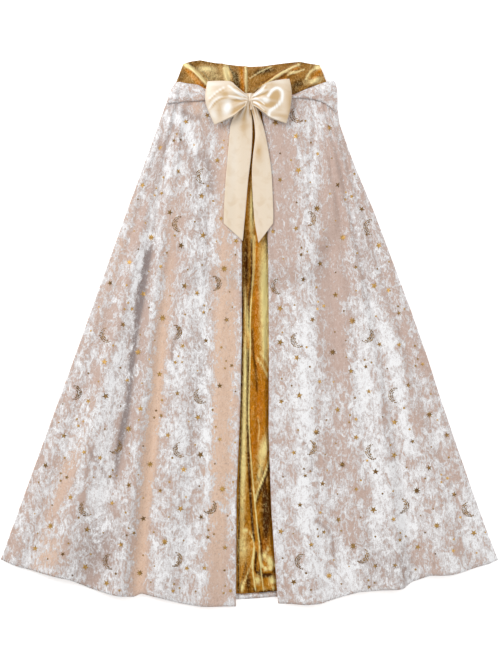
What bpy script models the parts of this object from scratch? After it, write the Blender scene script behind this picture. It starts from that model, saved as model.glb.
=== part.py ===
"""A child's hooded cape of crushed velvet with a gold lining and a satin bow, laid flat on its back.

The cape lies in the XY plane with its neck towards +Y, and +Z is up from the surface it rests on.
Places are read in the photo's pixels (u to the right, v downwards) and turned into metres once.
"""

import math
from typing import NamedTuple

import bmesh
import bpy

# Scale and place of the pixel frame
PX = 0.00125
MM = 0.001
CENTRE_U = 250.0
CENTRE_V = 333.25

# The fan that the panels are cut on
APEX_U = 252.0
APEX_V = -126.0
R_NECK = 223.0
R_HEM = 731.0
NECK_V = 97.0

# Heights of the layers over the surface beneath the back, in millimetres
BACK_THICK = 1.6
LINING_FLOOR = 1.9
LINING_THICK = 1.0
FRONT_FLOOR = 3.2
FRONT_THICK = 1.8
SEAM_GAP = 0.3

# The turned side edge of each front, in millimetres
WRAP_THICK = 1.8
WRAP_GAP = 0.4
WRAP_ROUND = 1.4

# The back's turned-up hem, and how much the back is shorter than the fronts at the centre
HEM_TURN_PX = 5.8
HEM_STEP = 1.0
BACK_SHORTER_PX = 6.5

# The folded hood beneath the back
POUCH_TOP_V = 74.0
POUCH_END_V = 262.0
POUCH_END_R = 390.0
POUCH_MARGIN_PX = 8.0
POUCH_LEAST_HALF = 52.0
POUCH_RISE = 7.0
POUCH_TOP_MM = 6.5
FALL_SIDE_PX = 20.0
FALL_END_PX = 30.0
FALL_TOP_PX = 13.0

# The hood's gold inside
HOOD_FLOOR = 0.6
HOOD_THICK = 1.4
HOOD_LOW_V = 96.7
HOOD_COLUMNS = 25
HOOD_ROWS = 8

# The velvet band at the neck
BAND_THICK = 1.8
BAND_ARCH = 1.2
BAND_ROWS = 6
BAND_CLEAR = 0.9
BAND_STEP = 0.42

# The ribbon
RIBBON_THICK = 1.0
BOW_FLOOR = 16.7
KNOT_FLOOR = 16.4
KNOT_TALL = 9.6
KNOT_U = 249.5
KNOT_V = 103.0
KNOT_HALF_U = 8.0
KNOT_HALF_V = 8.0
KNOT_SEGMENTS = 21
KNOT_PLEATS = 7
LOOP_ACROSS = 8


class Place(NamedTuple):
    """A point on an edge, in pixels."""

    u: float
    v: float


class Line(NamedTuple):
    """A crest or a valley that runs from neck to hem: its angle in the fan, and its height in millimetres."""

    name: str
    neck: float
    middle: float
    hem: float
    high_neck: float
    high_middle: float
    high_hem: float


class Crease(NamedTuple):
    """A soft ridge in the hood's lining, from one place to another, with its half width and height."""

    u0: float
    v0: float
    u1: float
    v1: float
    half_px: float
    high: float


class Strip(NamedTuple):
    """One cross line of a strip of cloth, from one edge to the other, with its lift in millimetres."""

    u0: float
    v0: float
    u1: float
    v1: float
    lift: float


# Outlines
SIDE_LEFT = (Place(168.4, 97), Place(165, 106), Place(129.8, 202), Place(78, 346), Place(0, 560), Place(-3, 568))
SIDE_RIGHT = (
    Place(333, 97), Place(335.5, 112), Place(351, 154), Place(371, 202), Place(389, 250), Place(407, 298),
    Place(424, 346), Place(439.5, 394), Place(456, 442), Place(472.5, 490), Place(490, 538), Place(502, 568),
)
EDGE_LEFT = (Place(242.5, 97), Place(242, 250), Place(242, 330), Place(240.5, 400), Place(236.6, 490), Place(236, 610))
EDGE_RIGHT = (
    Place(260, 97), Place(263, 122), Place(268, 250), Place(268.6, 430), Place(271.4, 511), Place(278.6, 610),
)
HEM = (
    Place(0, 560), Place(20, 568), Place(50, 575), Place(70, 580), Place(90, 589), Place(110, 594), Place(134, 597.5),
    Place(141, 594), Place(160, 598), Place(180, 604), Place(200, 607), Place(236, 607), Place(278, 604),
    Place(305, 605), Place(320, 604), Place(340, 598), Place(360, 592), Place(380, 591), Place(403, 588.5),
    Place(411, 583), Place(430, 576), Place(450, 575), Place(470, 570), Place(490, 564), Place(500, 560),
)
HOOD_TOP = (
    Place(176, 70), Place(183, 63), Place(190, 60.5), Place(200, 59), Place(210, 61), Place(220, 62.5),
    Place(235, 64.5), Place(250, 66), Place(262, 65.5), Place(275, 63.5), Place(290, 61.5), Place(300, 60.8),
    Place(310, 62.5), Place(320, 64),
)
POUCH_HALF = (
    Place(50, 74), Place(56, 78), Place(66, 92), Place(69, 104), Place(71, 130), Place(68, 190), Place(63, 230),
    Place(57, 246), Place(46, 256), Place(30, 261), Place(12, 262),
)

# Folds of the fronts, from the left side edge to the front edge and on to the right side edge
LEFT_LINES = (
    Line("roll", -20.0, -19.2, -19.1, 1.4, 3.5, 5.0),
    Line("dip", -19.5, -18.2, -18.1, 0.7, 2.2, 2.5),
    Line("outer ridge", -18.9, -16.5, -15.7, 2.2, 8.0, 13.0),
    Line("deep valley", -18.2, -14.1, -12.8, 0.4, 0.7, 1.6),
    Line("lapping ridge", -17.0, -12.5, -10.4, 2.6, 9.0, 15.0),
    Line("lap", -15.0, -10.9, -9.1, 0.9, 2.0, 2.0),
    Line("inner ridge", -12.0, -8.4, -7.3, 2.0, 5.5, 8.5),
    Line("wide valley", -8.4, -5.8, -5.4, 0.7, 1.0, 2.0),
    Line("near ridge", -5.2, -3.9, -3.4, 1.8, 3.8, 5.5),
    Line("flat strip", -3.5, -2.5, -2.2, 1.3, 1.8, 2.2),
)
RIGHT_LINES = (
    Line("flat strip", 3.7, 3.0, 2.9, 1.3, 1.5, 2.0),
    Line("white ridge", 11.3, 6.6, 4.5, 2.4, 6.5, 9.5),
    Line("blush valley", 15.2, 9.9, 6.9, 0.9, 1.4, 3.0),
    Line("middle ridge", 15.9, 11.6, 8.8, 1.6, 4.8, 7.5),
    Line("middle dip", 16.4, 12.6, 10.0, 1.2, 3.0, 4.0),
    Line("lapping ridge", 16.9, 14.1, 11.6, 2.2, 8.5, 14.0),
    Line("lap", 17.4, 15.4, 12.9, 1.0, 2.4, 2.0),
    Line("outer ridge", 17.8, 17.0, 16.2, 1.9, 7.0, 12.0),
    Line("dip", 18.2, 18.3, 18.1, 0.8, 2.5, 3.0),
    Line("roll", 18.6, 19.1, 19.0, 1.2, 3.2, 4.5),
)
EDGE_LIFT = (1.2, 3.0, 3.6)
SIDE_LIFT = (0.4, 0.8, 1.0)

# Folds of the back's lining in the opening
LINING_LINES = (
    Line("left fold", -1.5, -0.78, -0.75, 1.2, 2.4, 2.8),
    Line("left hollow", -0.6, -0.5, 0.25, 0.3, 0.5, 0.8),
    Line("centre seam", 0.2, -0.22, 0.95, 1.8, 2.8, 3.2),
    Line("right hollow", 0.7, 0.5, 1.3, 0.3, 0.4, 0.7),
    Line("right fold", 1.5, 1.3, 1.65, 1.8, 2.8, 2.4),
)

# Distances from the fan's point at which the panels have a row of vertices
ROW_RADII = (250, 280, 318, 356, 390, 405, 421, 445, 490, 548, 606, 662, 704)

# Creases of the hood's lining
HOOD_CREASES = (
    Crease(187, 64, 210, 88, 3.6, 3.2),
    Crease(222, 63, 228, 85, 4.6, 3.4),
    Crease(245.5, 64, 245.5, 92, 2.8, 2.4),
    Crease(297, 64, 257, 89, 4.6, 4.2),
    Crease(300, 67, 286, 77, 2.8, 1.6),
    Crease(324, 73, 302, 91, 4.4, 3.0),
)

# The band, from its left end to its right end
BAND = (
    Strip(169.0, 93.0, 166.6, 104.2, 0.0),
    Strip(176.0, 82.4, 175.0, 103.4, 0.5),
    Strip(187.0, 83.5, 187.0, 102.2, 0.8),
    Strip(198.0, 85.0, 198.0, 101.6, 0.6),
    Strip(206.0, 88.8, 206.0, 101.2, 0.0),
    Strip(225.0, 92.0, 225.0, 101.4, -0.5),
    Strip(249.0, 93.2, 249.0, 101.8, -1.0),
    Strip(275.0, 94.2, 275.0, 100.2, -0.8),
    Strip(291.6, 94.6, 291.6, 98.8, -0.4),
    Strip(300.0, 91.8, 300.0, 98.8, 0.2),
    Strip(310.0, 87.8, 310.0, 99.6, 0.8),
    Strip(320.0, 84.0, 320.0, 102.0, 1.2),
    Strip(329.0, 81.0, 329.0, 107.0, 1.6),
    Strip(335.0, 80.6, 335.6, 112.0, 1.2),
    Strip(337.2, 89.0, 337.4, 108.5, 0.6),
)

# The two free ends, from the knot to the tip
TAIL_LEFT = (
    Strip(243.5, 105.0, 249.2, 105.0, 1.2),
    Strip(239.6, 110.5, 251.0, 110.0, 1.4),
    Strip(233.4, 116.5, 251.8, 116.5, 1.6),
    Strip(230.7, 124.0, 252.3, 124.0, 1.8),
    Strip(229.3, 138.0, 252.3, 138.0, 0.9),
    Strip(227.6, 158.0, 250.9, 158.0, 0.4),
    Strip(225.5, 182.5, 248.0, 182.5, 0.3),
    Strip(224.0, 208.0, 245.6, 211.0, 0.5),
    Strip(223.6, 223.6, 242.8, 241.4, 0.9),
)
TAIL_RIGHT = (
    Strip(250.2, 105.0, 255.6, 105.0, 1.2),
    Strip(252.2, 111.5, 258.2, 109.5, 1.4),
    Strip(253.4, 119.0, 260.6, 118.0, 2.0),
    Strip(254.6, 127.0, 263.2, 126.0, 2.6),
    Strip(255.0, 138.0, 266.0, 138.0, 2.4),
    Strip(252.9, 157.0, 269.3, 156.0, 1.8),
    Strip(251.9, 173.6, 271.6, 173.6, 0.7),
    Strip(252.8, 198.0, 272.8, 198.0, 0.3),
    Strip(254.8, 222.0, 273.3, 212.0, 0.4),
    Strip(258.4, 243.2, 273.1, 223.6, 0.8),
)


class LoopEdges(NamedTuple):
    """The outline of one loop of the bow, in pixels, from the knot outwards and down its outer end."""

    top: tuple
    outer: tuple
    bottom: tuple


LOOP_LEFT = LoopEdges(
    top=(Place(241.0, 96.5), Place(238.3, 88.8), Place(228.7, 83.4), Place(208.3, 82.7)),
    outer=(Place(208.3, 82.7), Place(206.0, 96.7), Place(207.7, 108.0), Place(215.3, 125.7)),
    bottom=(Place(241.0, 108.0), Place(237.6, 114.5), Place(231.9, 119.0), Place(215.3, 125.7)),
)
LOOP_RIGHT = LoopEdges(
    top=(Place(258.0, 96.5), Place(263.8, 86.2), Place(274.0, 82.8), Place(288.6, 80.4)),
    outer=(Place(288.6, 80.4), Place(290.9, 94.0), Place(289.3, 110.7), Place(285.5, 124.4)),
    bottom=(Place(258.0, 108.5), Place(263.8, 116.5), Place(270.0, 119.6), Place(285.5, 124.4)),
)


class LoopStep(NamedTuple):
    """A step of the ribbon round a loop: how far out from the knot, from 0 to 1, and how high."""

    out: float
    high: float


LOOP_PATH = (
    LoopStep(0.00, 5.4), LoopStep(0.08, 6.6), LoopStep(0.20, 8.6), LoopStep(0.36, 10.2), LoopStep(0.55, 10.7),
    LoopStep(0.74, 10.0), LoopStep(0.89, 8.4), LoopStep(0.975, 6.4), LoopStep(1.0, 4.9), LoopStep(0.975, 3.4),
    LoopStep(0.88, 2.0), LoopStep(0.70, 1.2), LoopStep(0.45, 1.2), LoopStep(0.20, 2.0), LoopStep(0.00, 3.2),
)
LOOP_LONG_MM = 43.0
LOOP_BOW_MM = 2.2
LOOP_PLEATS = 4
LOOP_PLEAT_MM = 0.5


class Coat(NamedTuple):
    """The look of one kind of cloth."""

    colour: tuple
    roughness: float
    metallic: float


VELVET = Coat((0.66, 0.53, 0.48), 0.75, 0.0)
LAME = Coat((0.72, 0.44, 0.10), 0.30, 0.9)
SATIN = Coat((0.88, 0.76, 0.55), 0.35, 0.0)


# Small helpers

def soft(t):
    """Eases from 0 to 1 with a level start and end."""
    t = min(max(t, 0.0), 1.0)
    return t * t * (3.0 - 2.0 * t)


def mix(a, b, t):
    return a + (b - a) * t


def read_table(pairs, at):
    """Straight-line reading of (where, value) pairs that rise in where."""
    if at <= pairs[0][0]:
        return pairs[0][1]
    for (x0, y0), (x1, y1) in zip(pairs, pairs[1:]):
        if at <= x1:
            return mix(y0, y1, (at - x0) / (x1 - x0))
    return pairs[-1][1]


def polar(place):
    """Distance from the fan's point, and angle in degrees, of a place."""
    du = place.u - APEX_U
    dv = place.v - APEX_V
    return math.hypot(du, dv), math.degrees(math.atan2(du, dv))


def at_polar(radius, angle):
    turn = math.radians(angle)
    return Place(APEX_U + radius * math.sin(turn), APEX_V + radius * math.cos(turn))


def angle_table(places):
    return tuple(polar(p) for p in places)


def radius_table(places):
    return tuple((polar(p)[1], polar(p)[0]) for p in places)


SIDE_LEFT_BY_R = angle_table(SIDE_LEFT)
SIDE_RIGHT_BY_R = angle_table(SIDE_RIGHT)
EDGE_LEFT_BY_R = angle_table(EDGE_LEFT)
EDGE_RIGHT_BY_R = angle_table(EDGE_RIGHT)
HEM_BY_ANGLE = radius_table(HEM)
HOOD_TOP_BY_U = tuple((p.u, p.v) for p in HOOD_TOP)
POUCH_HALF_BY_V = tuple((p.v, p.u) for p in POUCH_HALF)


def share(radius):
    """0 at the neck and 1 at the hem."""
    return min(max((radius - R_NECK) / (R_HEM - R_NECK), 0.0), 1.0)


def through(a, b, c, s):
    """The curve through a, b and c at 0, one half and 1."""
    return a * (1 - s) * (1 - 2 * s) + b * 4 * s * (1 - s) + c * s * (2 * s - 1)


def line_angle(line, radius):
    return through(line.neck, line.middle, line.hem, share(radius))


def line_high(line, radius):
    return max(0.0, through(line.high_neck, line.high_middle, line.high_hem, share(radius)))


def mm_as_degrees(mm, radius):
    return math.degrees(mm * MM / PX / radius)


def hem_radius(angle):
    return read_table(HEM_BY_ANGLE, angle)


def back_hem_radius(angle):
    return hem_radius(angle) - BACK_SHORTER_PX * max(0.0, 1.0 - (angle / 20.0) ** 2)


# Heights

def ground(u, v):
    """Height of the back's underside: level, and raised over the folded hood."""
    half = max(read_table(POUCH_HALF_BY_V, v), POUCH_LEAST_HALF) + POUCH_MARGIN_PX
    radius = polar(Place(u, v))[0]
    beside = soft(1.0 - max(abs(u - APEX_U) - half, 0.0) / FALL_SIDE_PX)
    below = soft(1.0 - max(radius - POUCH_END_R, 0.0) / FALL_END_PX)
    above = soft(1.0 - max(POUCH_TOP_V - v, 0.0) / FALL_TOP_PX)
    return POUCH_RISE * beside * below * above


def stations(radius):
    """(angle, height) of every crest and valley at one distance, left side to right side."""
    s = share(radius)
    found = [(read_table(SIDE_LEFT_BY_R, radius), through(*SIDE_LIFT, s))]
    found += [(line_angle(line, radius), line_high(line, radius)) for line in LEFT_LINES]
    found += [(read_table(EDGE_LEFT_BY_R, radius), through(*EDGE_LIFT, s))]
    found += [(read_table(EDGE_RIGHT_BY_R, radius), through(*EDGE_LIFT, s))]
    found += [(line_angle(line, radius), line_high(line, radius)) for line in RIGHT_LINES]
    found += [(read_table(SIDE_RIGHT_BY_R, radius), through(*SIDE_LIFT, s))]
    return found


def eased_reading(pairs, at):
    """Reading of (where, value) pairs that eases from each to the next."""
    if at <= pairs[0][0]:
        return pairs[0][1]
    for (x0, y0), (x1, y1) in zip(pairs, pairs[1:]):
        if at <= x1:
            return mix(y0, y1, soft((at - x0) / max(x1 - x0, 1e-9)))
    return pairs[-1][1]


def fold_height(u, v):
    radius, angle = polar(Place(u, v))
    return eased_reading(stations(radius), angle)


def lining_stations(radius):
    found = [(read_table(EDGE_LEFT_BY_R, radius), 0.0)]
    found += [(line_angle(line, radius), line_high(line, radius)) for line in LINING_LINES]
    found += [(read_table(EDGE_RIGHT_BY_R, radius), 0.0)]
    return found


def crease_height(u, v):
    """Height of the hood lining's creases, which end where the band covers it."""
    total = 0.0
    for c in HOOD_CREASES:
        along_u = c.u1 - c.u0
        along_v = c.v1 - c.v0
        long = math.hypot(along_u, along_v)
        t = ((u - c.u0) * along_u + (v - c.v0) * along_v) / long**2
        off = abs((u - c.u0) * along_v - (v - c.v0) * along_u) / long
        ends = soft((t + 0.25) / 0.3) * soft((1.2 - t) / 0.35)
        total = max(total, c.high * soft(1.0 - off / c.half_px) * ends)
    return total * soft((95.0 - v) / 9.0)


# Mesh builders

def in_metres(u, v, z_mm):
    return ((u - CENTRE_U) * PX, (CENTRE_V - v) * PX, z_mm * MM)


def material(name, coat):
    made = bpy.data.materials.new(name)
    made.use_nodes = True
    shader = made.node_tree.nodes["Principled BSDF"]
    shader.inputs["Base Color"].default_value = (*coat.colour, 1.0)
    shader.inputs["Roughness"].default_value = coat.roughness
    shader.inputs["Metallic"].default_value = coat.metallic
    made.diffuse_color = (*coat.colour, 1.0)
    return made


def add_object(name, points, faces, coat):
    mesh = bpy.data.meshes.new(name)
    mesh.from_pydata(points, [], faces)
    work = bmesh.new()
    work.from_mesh(mesh)
    bmesh.ops.recalc_face_normals(work, faces=work.faces)
    work.to_mesh(mesh)
    work.free()
    mesh.shade_smooth()
    mesh.materials.append(material(name + "_cloth", coat))
    made = bpy.data.objects.new(name, mesh)
    bpy.context.scene.collection.objects.link(made)
    return made


def quad(a, b, c, d):
    return [(a, b, c), (a, c, d)]


def add_wall(name, upper, lower, coat):
    """A closed wall between two grids of points, which have the same rows and columns."""
    rows = len(upper)
    columns = len(upper[0])
    size = rows * columns
    points = [p for row in upper for p in row] + [p for row in lower for p in row]
    faces = []
    for i in range(rows - 1):
        for j in range(columns - 1):
            a = i * columns + j
            b = a + 1
            c = a + columns + 1
            d = a + columns
            faces += quad(a, b, c, d)
            faces += [tuple(size + k for k in reversed(face)) for face in quad(a, b, c, d)]
    rim = [j for j in range(columns)]
    rim += [i * columns + columns - 1 for i in range(1, rows)]
    rim += [(rows - 1) * columns + j for j in range(columns - 2, -1, -1)]
    rim += [i * columns for i in range(rows - 2, 0, -1)]
    for a, b in zip(rim, rim[1:] + rim[:1]):
        faces += quad(b, a, size + a, size + b)
    return add_object(name, points, faces, coat)


def add_rings(name, rings, coat):
    """A closed solid through rings of points, with a fan over each end."""
    count = len(rings[0])
    points = [p for ring in rings for p in ring]
    faces = []
    for i in range(len(rings) - 1):
        for j in range(count):
            k = (j + 1) % count
            faces += quad(i * count + j, i * count + k, (i + 1) * count + k, (i + 1) * count + j)
    for first, ring in ((0, rings[0]), ((len(rings) - 1) * count, rings[-1])):
        points.append(tuple(sum(p[axis] for p in ring) / count for axis in range(3)))
        centre = len(points) - 1
        faces += [(first + j, first + (j + 1) % count, centre) for j in range(count)]
    return add_object(name, points, faces, coat)


# Columns and rows that all the panels share

def with_halves(angles):
    found = []
    for a, b in zip(angles, angles[1:]):
        found += [a, (a + b) / 2]
    return found + [angles[-1]]


def left_columns(radius):
    inner = [line_angle(line, radius) for line in LEFT_LINES]
    start = read_table(SIDE_LEFT_BY_R, radius) + mm_as_degrees(WRAP_THICK + WRAP_GAP, radius)
    return with_halves([start, *inner, read_table(EDGE_LEFT_BY_R, radius)])


def right_columns(radius):
    inner = [line_angle(line, radius) for line in RIGHT_LINES]
    end = read_table(SIDE_RIGHT_BY_R, radius) - mm_as_degrees(WRAP_THICK + WRAP_GAP, radius)
    return with_halves([read_table(EDGE_RIGHT_BY_R, radius), *inner, end])


def opening_columns(radius):
    return [line_angle(line, radius) for line in LINING_LINES]


def all_columns(radius):
    return left_columns(radius) + opening_columns(radius) + right_columns(radius)


def neck_radius(angle):
    return (NECK_V - APEX_V) / math.cos(math.radians(angle))


def grid(columns_at, last_radius, start=neck_radius):
    """Rows of places from neck to hem. The neck row lies along the neck, and the last along the hem."""
    rows = [[at_polar(start(angle), angle) for angle in columns_at(R_NECK)]]
    rows += [[at_polar(radius, angle) for angle in columns_at(radius)] for radius in ROW_RADII]
    rows += [[at_polar(last_radius(angle), angle) for angle in columns_at(R_HEM)]]
    return rows


def raised(rows, height):
    return [[in_metres(p.u, p.v, height(p)) for p in row] for row in rows]


# The pieces

def build_back_panel():
    def turned_hem_radius(angle):
        return back_hem_radius(angle) - HEM_TURN_PX

    def moved(row, mm):
        return [Place(p.u, p.v + mm * MM / PX) for p in row]

    rows = grid(all_columns, turned_hem_radius)
    hem = [at_polar(back_hem_radius(angle), angle) for angle in all_columns(R_HEM)]
    step = moved(rows[-1], SEAM_GAP)
    floor = raised([*rows[:-1], step, moved(step, HEM_STEP), hem], lambda p: ground(p.u, p.v))
    top = raised([*rows[:-1], step], lambda p: ground(p.u, p.v) + BACK_THICK)
    turned = raised([step, hem], lambda p: LINING_FLOOR + LINING_THICK)
    return add_wall("back_panel", top + turned, floor, VELVET)


def build_back_lining():
    def end_radius(angle):
        return back_hem_radius(angle) - HEM_TURN_PX

    def under(p):
        radius, angle = polar(p)
        return ground(p.u, p.v) + LINING_FLOOR + eased_reading(lining_stations(radius), angle)

    rows = grid(all_columns, end_radius)
    lower = raised(rows, under)
    upper = raised(rows, lambda p: under(p) + LINING_THICK)
    return add_wall("back_lining", upper, lower, LAME)


def build_front(name, columns_at, side_by_r, towards):
    """One front: towards is -1 where its side edge is on the left and 1 where it is on the right."""

    def outward(radius, mm):
        return read_table(side_by_r, radius) - towards * mm_as_degrees(mm, radius)

    def under(p):
        return ground(p.u, p.v) + FRONT_FLOOR + fold_height(p.u, p.v)

    rows = grid(columns_at, hem_radius)
    upper = raised(rows, lambda p: under(p) + FRONT_THICK)
    lower = raised(rows, under)
    side = [neck_radius(read_table(side_by_r, R_NECK)), *ROW_RADII, hem_radius(read_table(side_by_r, R_HEM))]
    for radius, top_row, low_row in zip(side, upper, lower):
        edge = at_polar(radius, outward(radius, 0.0))
        bend = at_polar(radius, outward(radius, WRAP_ROUND))
        inner = at_polar(radius, outward(radius, WRAP_THICK))
        low = ground(edge.u, edge.v)
        tall = under(edge)
        outside = [
            in_metres(edge.u, edge.v, low),
            in_metres(edge.u, edge.v, tall + FRONT_THICK - WRAP_ROUND),
            in_metres(bend.u, bend.v, tall + FRONT_THICK - 0.2),
        ]
        inside = [
            in_metres(inner.u, inner.v, low),
            in_metres(inner.u, inner.v, low + FRONT_FLOOR),
            in_metres(inner.u, inner.v, low + FRONT_FLOOR + 0.1),
        ]
        if towards < 0:
            top_row[:0] = outside
            low_row[:0] = inside
        else:
            top_row.extend(reversed(outside))
            low_row.extend(reversed(inside))
    return add_wall(name, upper, lower, VELVET)


def hood_place(a, b):
    """A place on the hood's lining: a runs left to right, and b from the neck to the top edge."""
    low = Place(mix(170.5, 332.5, a), HOOD_LOW_V)
    top_u = mix(183.0, 320.0, a)
    top = Place(top_u, read_table(HOOD_TOP_BY_U, top_u))
    return Place(mix(low.u, top.u, b), mix(low.v, top.v, b))


def hood_under(p):
    return ground(p.u, p.v) + HOOD_FLOOR + crease_height(p.u, p.v)


def build_hood_lining():
    rows = []
    for i in range(HOOD_ROWS):
        b = i / (HOOD_ROWS - 1)
        rows.append([hood_place(j / (HOOD_COLUMNS - 1), b) for j in range(HOOD_COLUMNS)])
    lower = raised(rows, hood_under)
    upper = raised(rows, lambda p: hood_under(p) + HOOD_THICK)
    return add_wall("hood_lining", upper, lower, LAME)


def pouch_outline(inset_px):
    """The folded hood's outline, drawn in by a margin."""
    right = []
    for row in POUCH_HALF:
        middle_v = (POUCH_TOP_V + POUCH_END_V) / 2
        down = 1.0 - inset_px / (POUCH_END_V - middle_v)
        right.append(Place(APEX_U + row.u - inset_px, middle_v + (row.v - middle_v) * down))
    left = [Place(2 * APEX_U - p.u, p.v) for p in reversed(right)]
    return right + left


class Layer(NamedTuple):
    """A ring round the folded hood: its inset in pixels and its height in millimetres."""

    inset: float
    high: float


POUCH_LAYERS = (
    Layer(0.8, 0.0), Layer(0.1, 0.5), Layer(0.0, 1.6), Layer(1.2, 2.0), Layer(1.2, 2.3), Layer(0.2, 2.6),
    Layer(0.2, 3.8), Layer(1.3, 4.2), Layer(1.3, 4.5), Layer(0.4, 4.8), Layer(0.6, 5.8), Layer(2.4, POUCH_TOP_MM),
)


def build_hood_pouch():
    rings = [[in_metres(p.u, p.v, layer.high) for p in pouch_outline(layer.inset)] for layer in POUCH_LAYERS]
    return add_rings("hood_pouch", rings, VELVET)


def band_under(u, v, t):
    """Underside of the band: on the hood's lining at its upper edge, and on the fronts below."""
    on_lining = ground(u, v) + HOOD_FLOOR + HOOD_THICK + crease_height(u, v) + SEAM_GAP + BAND_CLEAR
    on_front = ground(u, v) + FRONT_FLOOR + FRONT_THICK + fold_height(u, max(v, NECK_V)) + SEAM_GAP
    return mix(on_lining, on_front + BAND_CLEAR, soft(t / BAND_STEP)) + BAND_ARCH * math.sin(math.pi * t)


def build_hood_band():
    upper = []
    lower = []
    for i in range(BAND_ROWS):
        t = i / (BAND_ROWS - 1)
        puff = mix(0.3, 1.0, math.sin(math.pi * t))
        places = [(mix(s.u0, s.u1, t), mix(s.v0, s.v1, t), s.lift * puff) for s in BAND]
        lower.append([in_metres(u, v, band_under(u, v, t) + lift) for u, v, lift in places])
        upper.append([in_metres(u, v, band_under(u, v, t) + lift + BAND_THICK) for u, v, lift in places])
    return add_wall("hood_band", upper, lower, VELVET)


def build_tail(name, rows, across=5):
    """One free end of the ribbon, which lies on the fronts."""
    upper = []
    lower = []
    for s in rows:
        low_row = []
        top_row = []
        for j in range(across):
            t = j / (across - 1)
            u = mix(s.u0, s.u1, t)
            v = mix(s.v0, s.v1, t)
            rest = ground(u, v) + FRONT_FLOOR + FRONT_THICK + fold_height(u, v) + SEAM_GAP + 0.1
            z = rest + s.lift * (0.4 + 0.6 * math.sin(math.pi * t))
            low_row.append(in_metres(u, v, z))
            top_row.append(in_metres(u, v, z + RIBBON_THICK))
        lower.append(low_row)
        upper.append(top_row)
    return add_wall(name, upper, lower, SATIN)


def curve_at(places, t):
    """A place on a run of places, by its share of their number."""
    x = t * (len(places) - 1)
    i = min(int(x), len(places) - 2)
    return Place(mix(places[i].u, places[i + 1].u, x - i), mix(places[i].v, places[i + 1].v, x - i))


def loop_place(edges, out, across):
    """A place inside the loop's outline, which follows all four of its sides."""
    inner = Place(edges.top[0].u, mix(edges.top[0].v, edges.bottom[0].v, across))
    outer = curve_at(edges.outer, across)
    top = curve_at(edges.top, out)
    bottom = curve_at(edges.bottom, out)
    u = mix(inner.u, outer.u, out)
    v = mix(inner.v, outer.v, out)
    u += (1 - across) * (top.u - mix(edges.top[0].u, edges.top[-1].u, out))
    v += (1 - across) * (top.v - mix(edges.top[0].v, edges.top[-1].v, out))
    u += across * (bottom.u - mix(edges.bottom[0].u, edges.bottom[-1].u, out))
    v += across * (bottom.v - mix(edges.bottom[0].v, edges.bottom[-1].v, out))
    return Place(u, v)


def loop_inside():
    """The path of the ribbon's inner face, one thickness in from LOOP_PATH."""
    steps = [(s.out * LOOP_LONG_MM, s.high) for s in LOOP_PATH]
    found = []
    for i, (x, z) in enumerate(steps):
        x0, z0 = steps[max(i - 1, 0)]
        x1, z1 = steps[min(i + 1, len(steps) - 1)]
        long = math.hypot(x1 - x0, z1 - z0)
        found.append(LoopStep(max((x + (z1 - z0) / long * RIBBON_THICK) / LOOP_LONG_MM, 0.0),
                              z - (x1 - x0) / long * RIBBON_THICK))
    return found


def build_loop(name, edges):
    def surface(steps):
        rows = []
        for step in steps:
            row = []
            for j in range(LOOP_ACROSS):
                across = j / (LOOP_ACROSS - 1)
                p = loop_place(edges, step.out, across)
                above = soft((step.high - 3.0) / 4.0)
                bow = LOOP_BOW_MM * above * (2 * across - 1) ** 2 * step.out
                pleat = LOOP_PLEAT_MM * math.cos(2 * math.pi * LOOP_PLEATS * across) * (1 - step.out) ** 2
                row.append(in_metres(p.u, p.v, BOW_FLOOR + step.high - bow + pleat * above))
            rows.append(row)
        return rows

    return add_wall(name, surface(LOOP_PATH), surface(loop_inside()), SATIN)


class KnotRing(NamedTuple):
    """A level of the knot: its share of the full width, and its share of the height."""

    wide: float
    high: float


KNOT_RINGS = (
    KnotRing(0.55, 0.0), KnotRing(0.82, 0.06), KnotRing(0.96, 0.2), KnotRing(1.0, 0.4), KnotRing(0.97, 0.6),
    KnotRing(0.86, 0.8), KnotRing(0.62, 0.94), KnotRing(0.3, 1.0),
)


def build_knot():
    rings = []
    for level in KNOT_RINGS:
        ring = []
        for k in range(KNOT_SEGMENTS):
            turn = 2 * math.pi * k / KNOT_SEGMENTS
            c = math.cos(turn)
            s = math.sin(turn)
            boxy = (abs(c) ** 3 + abs(s) ** 3) ** (-1 / 3)
            pleat = 1.0 - 0.04 * (1 + math.cos(KNOT_PLEATS * turn)) * level.high
            wide = level.wide * boxy * pleat
            u = KNOT_U + KNOT_HALF_U * wide * c
            v = KNOT_V + KNOT_HALF_V * wide * s
            ring.append(in_metres(u, v, KNOT_FLOOR + KNOT_TALL * level.high))
        rings.append(ring)
    return add_rings("ribbon_knot", rings, SATIN)


def clear_scene():
    for old in list(bpy.data.objects):
        bpy.data.objects.remove(old)


def main():
    clear_scene()
    build_hood_pouch()
    build_back_panel()
    build_back_lining()
    build_front("front_left", left_columns, SIDE_LEFT_BY_R, -1)
    build_front("front_right", right_columns, SIDE_RIGHT_BY_R, 1)
    build_hood_lining()
    build_hood_band()
    build_tail("ribbon_tail_left", TAIL_LEFT)
    build_tail("ribbon_tail_right", TAIL_RIGHT)
    build_loop("ribbon_loop_left", LOOP_LEFT)
    build_loop("ribbon_loop_right", LOOP_RIGHT)
    build_knot()


main()
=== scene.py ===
"""Dresses the flat-laid hooded cape: crushed velvet, gold lame, satin bow, foil print and stitches.

Places on the garment are read in the photo's pixels (u right, v down) and heights in millimetres.
"""

import logging
import math
from dataclasses import dataclass, field
from enum import Enum
from functools import reduce
from itertools import product
from typing import Callable, NamedTuple, Sequence

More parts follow.
